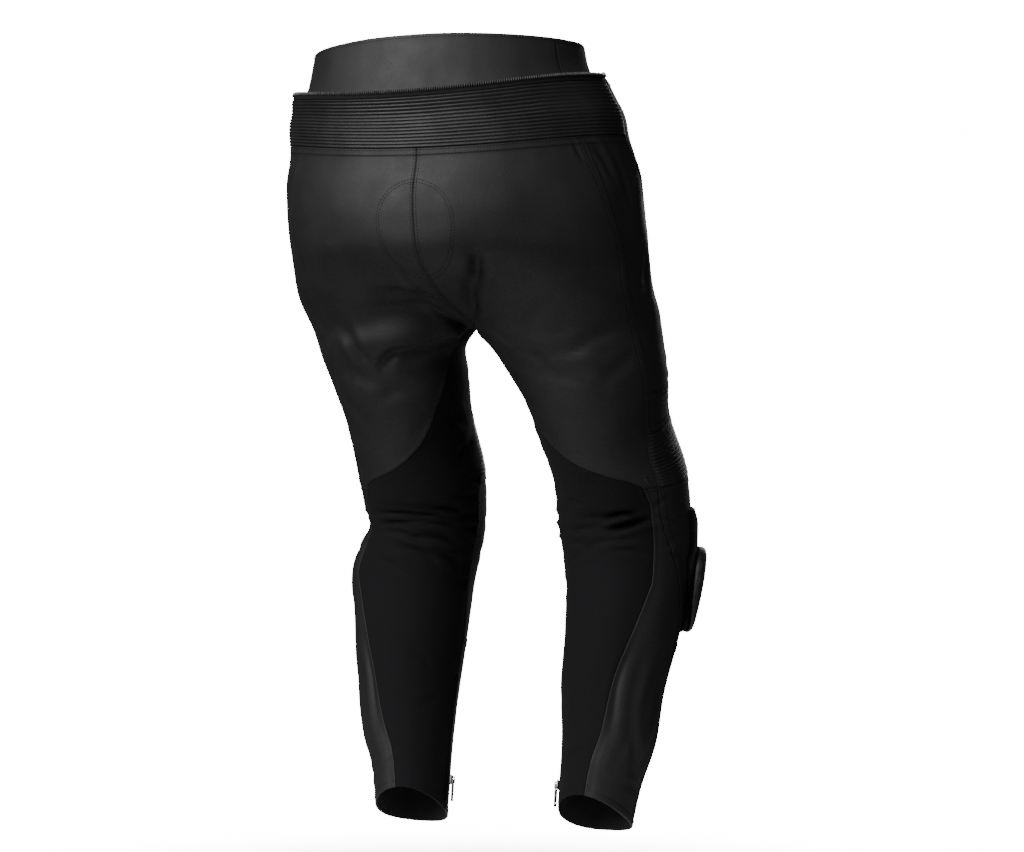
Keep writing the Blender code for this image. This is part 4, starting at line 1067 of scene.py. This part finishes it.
def slab(name, side, around, level, halfWidth, halfHeight, base, profile, skin, sectors, taper,
         power=2.6):
    turn = np.linspace(0, 2 * math.pi, sectors, endpoint=False)
    c, s = np.cos(turn), np.sin(turn)
    reach = 1 / (np.abs(c) ** power + np.abs(s) ** power) ** (1 / power)
    radius = np.linalg.norm(bareForm(side, around + 1, level)
                            - bareForm(side, around - 1, level)) * 90 / math.pi
    wide = math.degrees(halfWidth / radius)

    def ring(share, out):
        rise = 1 + taper * share * reach * s - taper / 2
        narrow = 1 + 0.5 * taper * reach * s
        return place(side, around + wide * share * reach * c * narrow,
                     level + halfHeight * share * reach * s, base + (out - base) * rise)[0]

    rings = [ring(share, base) for share in (0.2, 0.5, 0.8, 0.96)]
    rings += [ring(share, out) for share, out in profile]
    crown = base + (profile[-1][1] - base) * (1 - taper / 2)
    points = np.concatenate([np.concatenate(rings), place(side, around, level, base)[0][None],
                             place(side, around, level, crown)[0][None]]) * mm
    faces = []
    last = len(rings) - 1
    low, high = len(rings) * sectors, len(rings) * sectors + 1
    for i in range(sectors):
        j = (i + 1) % sectors
        faces += [(k * sectors + i, k * sectors + j, (k + 1) * sectors + j,
                   (k + 1) * sectors + i) for k in range(last)]
        faces += [(j, i, low), (last * sectors + i, last * sectors + j, high)]
    made = asObject(name, points.tolist(), faces, (skin,))
    bm = bmesh.new()
    bm.from_mesh(made.data)
    bmesh.ops.recalc_face_normals(bm, faces=bm.faces[:])
    bm.to_mesh(made.data)
    bm.free()
    relief = np.concatenate([np.full(sectors, 0.0)] * 4 + [
        np.full(sectors, 0.9 if 0.9 < share < 0.99 else 0.25) for share, _ in profile]
        + [np.array([0.0, 0.2])])
    store(made.data, "relief", relief)
    made.data.shade_smooth()
    return made


puckProfile = [(0.99, 9.5), (1.0, 10.2), (1.0, 13.0), (0.995, 14.6), (0.975, 16.2), (0.945, 17.3),
               (0.9, 18.1), (0.84, 18.7), (0.78, 19.0), (0.74, 19.0), (0.72, 18.6), (0.7, 18.6),
               (0.68, 19.2), (0.6, 19.5), (0.45, 19.8), (0.3, 20.0), (0.15, 20.0)]
for side, hand in ((1, "left"), (-1, "right")):
    kneePad(side, hand)
    puck = slab("kneeSliderShell_" + hand, side, knee["puckAround"], knee["puckLevel"],
                knee["puckWide"], knee["puckTall"], knee["pad"] + 0.9, puckProfile,
                "sliderPlastic", 72, knee["puckTaper"])
    standFor(puck, "knee_slider_" + hand)
print("knees made")

pulls = {"bevel": 0.00038, "out": 3.6}


def hardware(name, xs, ys, zs, filled, matrix, skin, nip=None):
    # a part from a grid's filled cells, with rounded edges; nip narrows it along y
    corner = {}
    bm = bmesh.new()
    walls = {(1, 0, 0): ((1, 0, 0), (1, 1, 0), (1, 1, 1), (1, 0, 1)),
             (-1, 0, 0): ((0, 0, 0), (0, 0, 1), (0, 1, 1), (0, 1, 0)),
             (0, 1, 0): ((0, 1, 0), (0, 1, 1), (1, 1, 1), (1, 1, 0)),
             (0, -1, 0): ((0, 0, 0), (1, 0, 0), (1, 0, 1), (0, 0, 1)),
             (0, 0, 1): ((0, 0, 1), (1, 0, 1), (1, 1, 1), (0, 1, 1)),
             (0, 0, -1): ((0, 0, 0), (0, 1, 0), (1, 1, 0), (1, 0, 0))}

    def vert(i, j, k):
        if (i, j, k) not in corner:
            pinch = nip(ys[j]) if nip else 1.0
            spot = Vector((xs[i] * pinch, ys[j], zs[k]))
            corner[i, j, k] = bm.verts.new(matrix @ (spot * mm))
        return corner[i, j, k]

    for cell in sorted(filled):
        for step, corners in walls.items():
            if tuple(a + b for a, b in zip(cell, step)) not in filled:
                bm.faces.new([vert(*(a + b for a, b in zip(cell, at))) for at in corners])
    bmesh.ops.recalc_face_normals(bm, faces=bm.faces[:])
    sharp = [e for e in bm.edges if e.calc_face_angle(0) > 0.3]
    bmesh.ops.bevel(bm, geom=sharp, offset=pulls["bevel"], segments=2, profile=0.6,
                    affect="EDGES", clamp_overlap=True)
    mesh = bpy.data.meshes.new(name)
    bm.to_mesh(mesh)
    bm.free()
    mesh.materials.append(skins[skin])
    mesh.shade_smooth()
    mesh.set_sharp_from_angle(angle=math.radians(35))
    store(mesh, "relief", np.full(len(mesh.vertices), 0.35))
    return inScene(name, mesh)


def makePull(stem, nodeStem, hand, side, around, level):
    # hung on the form as the frame has it, without fine creases
    here, _ = place(side, around, level, pulls["out"], fine=False)
    out = place(side, around, level, pulls["out"] + 1, fine=False)[0] - here
    down = place(side, around, level - 2, pulls["out"], fine=False)[0] - here
    down -= out * np.dot(down, out) / np.dot(out, out)
    z, y = Vector(out).normalized(), -Vector(down).normalized()
    x = y.cross(z)
    matrix = Matrix.Translation(Vector(here) * mm) @ Matrix((x, y, z)).transposed().to_4x4()
    filled = {(i, j, 0) for i in range(3) for j in range(5)}
    filled |= {(1, 1, 1), (1, 3, 1), (1, 1, 2), (1, 2, 2), (1, 3, 2)}
    body = hardware(stem + "Slider_" + hand, (-4, -1, 1, 4), (-5.5, -4, -2.4, 2.4, 4, 5.5),
                    (0, 2.2, 4.6, 5.8), filled, matrix, "gunMetal",
                    nip=lambda v: 1.0 - 0.16 * abs(v) / 5.5)
    standFor(body, nodeStem + "_slider_" + hand)
    xs = (-3.6, -1.7, 1.7, 3.6)
    ys = (-26, -23, -20.5, -6, -4, -0.7, 0.7)
    filled = {(i, j, 0) for i in range(3) for j in range(6)} - {
        (1, 1, 0), (1, 4, 0), (1, 3, 0)}
    tab = hardware(stem + "Tab_" + hand, xs, ys, (2.7, 4.1), filled, matrix, "gunMetal",
                   nip=lambda v: 0.92 + 0.08 * min(1.0, abs(v + 13) / 8))
    standFor(tab, nodeStem + "_tab_" + hand, nodeStem + "_tab_" + hand)


def zipStop(side, hand):  # the end of the joining zip sticks out past the ribs
    level = cut["skirtTop"] + 0.5
    spots, outs = place(side, np.array([84.0, 88.0]), level, 1.2, skirt(88.0, level))
    x, z = Vector(spots[1] - spots[0]).normalized(), Vector(outs[1])
    y = z.cross(x).normalized()
    matrix = Matrix.Translation(Vector(spots[1]) * mm) @ Matrix((x, y, z)).transposed().to_4x4()
    stop = hardware("joiningZipStop_" + hand, (-3.0, 3.4), (-2.9, 2.9), (0, 3.2), {(0, 0, 0)},
                    matrix, "gunMetal")
    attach(stop, "garment")


for side, hand in ((1, "left"), (-1, "right")):
    zipStop(side, hand)
    makePull("legZip", "leg_zip", hand, side, zips["legAround"], cut["hem"] + 36)
makePull("fly", "fly", "centre", 1, 270.0, -34.0)


def waistFastening():
    hip = np.concatenate([np.linspace(-10, -9.2, 5), np.linspace(-8.6, 8.6, 26),
                          np.linspace(9.2, 10, 5)])[None, :]
    top, bottom = cut["waistTop"] - 3, cut["skirtTop"] + 4
    level = np.concatenate([top - np.array([0, 0.3, 0.8, 1.6]), np.arange(top - 3, bottom + 2, -3),
                            bottom + np.array([1.6, 0.8, 0.3, 0])])[:, None]
    side, around = np.sign(hip) + 0 * level, 270 - 2 * np.abs(hip) + 0 * level
    level = level + 0 * hip
    d = np.minimum(np.minimum(top - level, level - bottom), (10 - np.abs(hip)) * 2.6)
    rise, fall = edgeShape("meet", np.maximum(d, 0), level)
    base = 0.5 - 1.0 - cut["leather"]
    tab = shell("waistTab", side, around, level, base + 2.0 + 0.5 * (rise + fall), base,
                "blackLeather", "hideInside", relief=fall)
    standFor(tab, "waist_tab")
    snap = slab("waistSnap", 1, 269.99, 12.0, 7.5, 7.5, base + 2.5,
                [(1.0, base + 2.9), (1.0, base + 3.6), (0.93, base + 4.1), (0.8, base + 4.3),
                 (0.7, base + 4.1), (0.6, base + 4.3), (0.45, base + 4.9), (0.2, base + 5.2)],
                "gunMetal", 40, 0.0, power=2.0)
    standFor(snap, "waist_snap")


waistFastening()
print("hardware made")

studio = {"turn": 20.0, "distance": 3.27, "aside": 0.0713, "height": -0.4067, "lens": 100.0,
          "key": 88.0, "fill": 5.0, "top": 6.0, "back": 18.0, "world": 0.04, "backdrop": 16.0,
          "floor": -0.985, "target": (0, -0.06, -0.40)}
lights = {  # right, up and near of the target, in metres; size; watts
    "keyLight": (-1.9, 1.45, 1.8, (1.9, 2.1), studio["key"]),
    "fillLight": (2.2, 0.3, 1.6, (1.4, 2.0), studio["fill"]),
    "topLight": (-0.4, 2.2, 0.6, (1.6, 1.2), studio["top"]),
    "backLight": (0.9, 0.8, -2.6, (1.6, 1.6), studio["back"]),
}


def areaLight(name, right, up, near, size, energy):
    turn = math.radians(studio["turn"])
    rightWay = Vector((-math.cos(turn), -math.sin(turn), 0))
    nearWay = Vector((-math.sin(turn), math.cos(turn), 0))
    target = Vector(studio["target"])
    spot = target + rightWay * right + nearWay * near + Vector((0, 0, up))
    data = bpy.data.lights.new(name, "AREA")
    data.shape = "RECTANGLE"
    data.size, data.size_y = size
    data.energy = energy
    data.spread = math.radians(160)
    made = inScene(name, data)
    made.location = spot
    made.rotation_euler = (target - spot).to_track_quat("-Z", "Y").to_euler()


def makeStudio():
    turn = math.radians(studio["turn"])
    data = bpy.data.cameras.new("camera")
    data.lens, data.sensor_width, data.sensor_fit = studio["lens"], 36.0, "HORIZONTAL"
    data.clip_end = 50.0
    camera = inScene("camera", data)
    r0, d = studio["aside"], studio["distance"]
    camera.location = (-r0 * math.cos(turn) - d * math.sin(turn),
                       -r0 * math.sin(turn) + d * math.cos(turn), studio["height"])
    camera.rotation_euler = (math.pi / 2, 0, turn + math.pi)
    bpy.context.scene.camera = camera
    for name, where in lights.items():
        areaLight(name, *where)

    world = bpy.data.worlds.new("studio")
    bpy.context.scene.world = world
    world.use_nodes = True
    tree = world.node_tree
    tree.nodes.clear()
    lit = node(tree, "ShaderNodeBackground", Color=(1, 1, 1, 1), Strength=studio["world"])
    seen = node(tree, "ShaderNodeBackground", Color=(1, 1, 1, 1), Strength=studio["backdrop"])
    path = node(tree, "ShaderNodeLightPath")
    mix = node(tree, "ShaderNodeMixShader", None, {
        0: path.outputs["Is Camera Ray"], 1: lit.outputs[0], 2: seen.outputs[0]})
    node(tree, "ShaderNodeOutputWorld", Surface=mix.outputs[0])

    bm = bmesh.new()
    bmesh.ops.create_circle(bm, cap_ends=True, segments=64, radius=1.3,
                            matrix=Matrix.Translation((0, 0, studio["floor"])))
    mesh = bpy.data.meshes.new("floor")
    bm.to_mesh(mesh)
    bm.free()
    pale = bpy.data.materials.new("paleFloor")
    pale.use_nodes = True
    tree = pale.node_tree
    shader = tree.nodes["Principled BSDF"]
    shader.inputs["Roughness"].default_value = 0.9
    noise = node(tree, "ShaderNodeTexNoise", Scale=3.0)
    tint = node(tree, "ShaderNodeMix", {"data_type": "RGBA"}, Factor=noise.outputs["Fac"],
                A=(0.86, 0.86, 0.86, 1), B=(0.90, 0.90, 0.90, 1))
    tree.links.new(tint.outputs["Result"], shader.inputs["Base Color"])
    spot = node(tree, "ShaderNodeTexCoord").outputs["Object"]
    away = node(tree, "ShaderNodeVectorMath", {"operation": "DISTANCE"},
                {0: spot, 1: (0.0, -0.05, studio["floor"])})
    fade = node(tree, "ShaderNodeMapRange", {"interpolation_type": "SMOOTHSTEP"}, {
        "Value": away.outputs["Value"], "From Min": 0.35, "From Max": 0.8, "To Min": 1.0,
        "To Max": 0.0})
    tree.links.new(fade.outputs[0], shader.inputs["Alpha"])
    mesh.materials.append(pale)
    inScene("floor", mesh)


makeStudio()
print("studio made")
